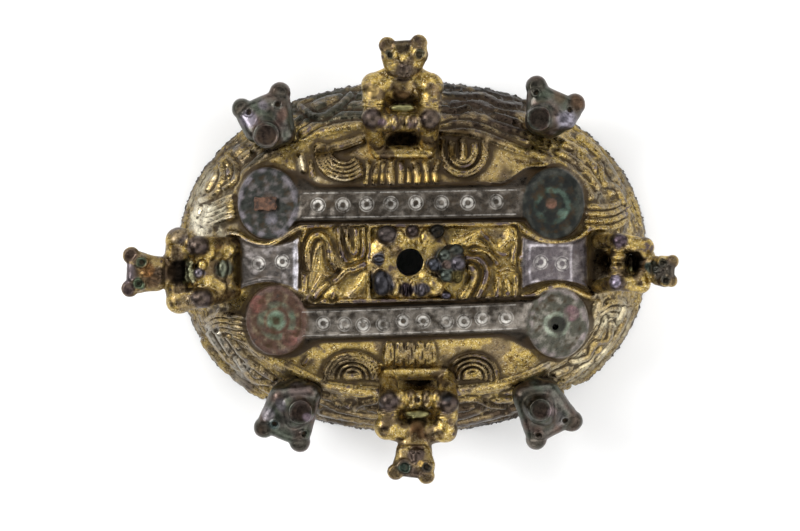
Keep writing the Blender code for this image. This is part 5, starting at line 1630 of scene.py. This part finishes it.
bm = bmesh.new()
peg(bm, (*STUB_MIDDLE, 0), STUB_RADIUS, STUB_FOOT, LUMP_HIGH[2] - 0.6)
block(bm, LUMP_LOW, LUMP_HIGH)
stub = melt("rivet_shank", bm, STUB_VOXEL)
spots, ways = read_points(stub.data), read_normals(stub.data)
x, y, z = spots.T
pitted = 0.45 * blur_noise(spots, 1.5, 21) + 0.2 * blur_noise(spots, 0.6, 22)
spots = press(spots, ways, pitted * (z > LUMP_LOW[2]))
on_lump = away_from(x, y, STUB_MIDDLE) > STUB_RADIUS + 0.15
disc_face = disc_place(x, y, DISCS["nw"])[1] + LUMP_GAP
spots[:, 2] = np.where(on_lump, np.maximum(spots[:, 2], disc_face), spots[:, 2])
write_points(stub.data, spots)

# The eye sees a dry brown crust without shine, darker where flakes have gone
rust = bpy.data.materials.new("rusted_iron")
rust.use_nodes = True
tree = rust.node_tree
rust_shader = tree.nodes["Principled BSDF"]
mm = add(tree, "ShaderNodeMapping", {
    "Vector": add(tree, "ShaderNodeTexCoord", output="Object"), "Scale": (1000.0,) * 3})
flakes = add(tree, "ShaderNodeTexNoise", {"Vector": mm, "Scale": FLAKE_SCALE, "Detail": 5.0})
share = add(tree, "ShaderNodeMapRange", {"Value": flakes, "From Min": 0.35, "From Max": 0.65})
colour = add(tree, "ShaderNodeMix", {
    "Factor": share, "A": linear(RUST_DARK), "B": linear(RUST_BROWN)}, "Result",
    data_type="RGBA")
tree.links.new(colour, rust_shader.inputs["Base Color"])
crust = add(tree, "ShaderNodeBump", {"Height": flakes, "Strength": 0.6, "Distance": 0.0002})
tree.links.new(crust, rust_shader.inputs["Normal"])
rust_shader.inputs["Roughness"].default_value = 0.8
dress(stub, rust)
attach(stub, "root")
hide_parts("rivet_stub")


# Floor: a matt white board, 1.6 m on each side, under the brooch, which lies loose on its
# rim. The eye sees plain white with a faint shadow along the rim.

FLOOR_SIZE = 1.6
BOARD_WHITE = "#fdfdfd"

bm = bmesh.new()
bmesh.ops.create_grid(bm, x_segments=1, y_segments=1, size=FLOOR_SIZE / 2)
floor_mesh = bpy.data.meshes.new("floor")
bm.to_mesh(floor_mesh)
bm.free()
floor = bpy.data.objects.new("floor", floor_mesh)
bpy.context.scene.collection.objects.link(floor)
board = bpy.data.materials.new("matt_white_board")
board.use_nodes = True
board_shader = board.node_tree.nodes["Principled BSDF"]
board_shader.inputs["Base Color"].default_value = linear(BOARD_WHITE)
board_shader.inputs["Roughness"].default_value = 0.95
floor_mesh.materials.append(board)


# Light: three large soft walls and a smaller, crisper box in the west, with a weak box above
# and a dim sky. Name, place and size in metres, and power in watts of each.

SKY_STRENGTH = 0.06
LIGHTS = (
    ("west_box", (-0.8, 0.3, 0.7), (0.5, 0.5), 8.5),
    ("east_wall", (0.95, -0.1, 0.7), (1.2, 1.3), 11.5),
    ("north_wall", (0.0, 0.95, 0.7), (1.5, 0.9), 9.0),
    ("south_wall", (0.0, -0.95, 0.65), (1.4, 0.8), 8.5),
    ("top_box", (0.0, 0.0, 1.2), (1.0, 1.0), 0.9),
)

for name, spot, size, power in LIGHTS:
    lamp = bpy.data.lights.new(name, "AREA")
    lamp.shape = "RECTANGLE"
    lamp.size, lamp.size_y = size
    lamp.energy = power
    box = bpy.data.objects.new(name, lamp)
    box.location = spot
    box.rotation_euler = (-Vector(spot)).to_track_quat("-Z", "Y").to_euler()
    bpy.context.scene.collection.objects.link(box)
world = bpy.data.worlds.new("studio")
world.use_nodes = True
sky = world.node_tree.nodes["Background"]
sky.inputs["Color"].default_value = (1, 1, 1, 1)
sky.inputs["Strength"].default_value = SKY_STRENGTH
bpy.context.scene.world = world
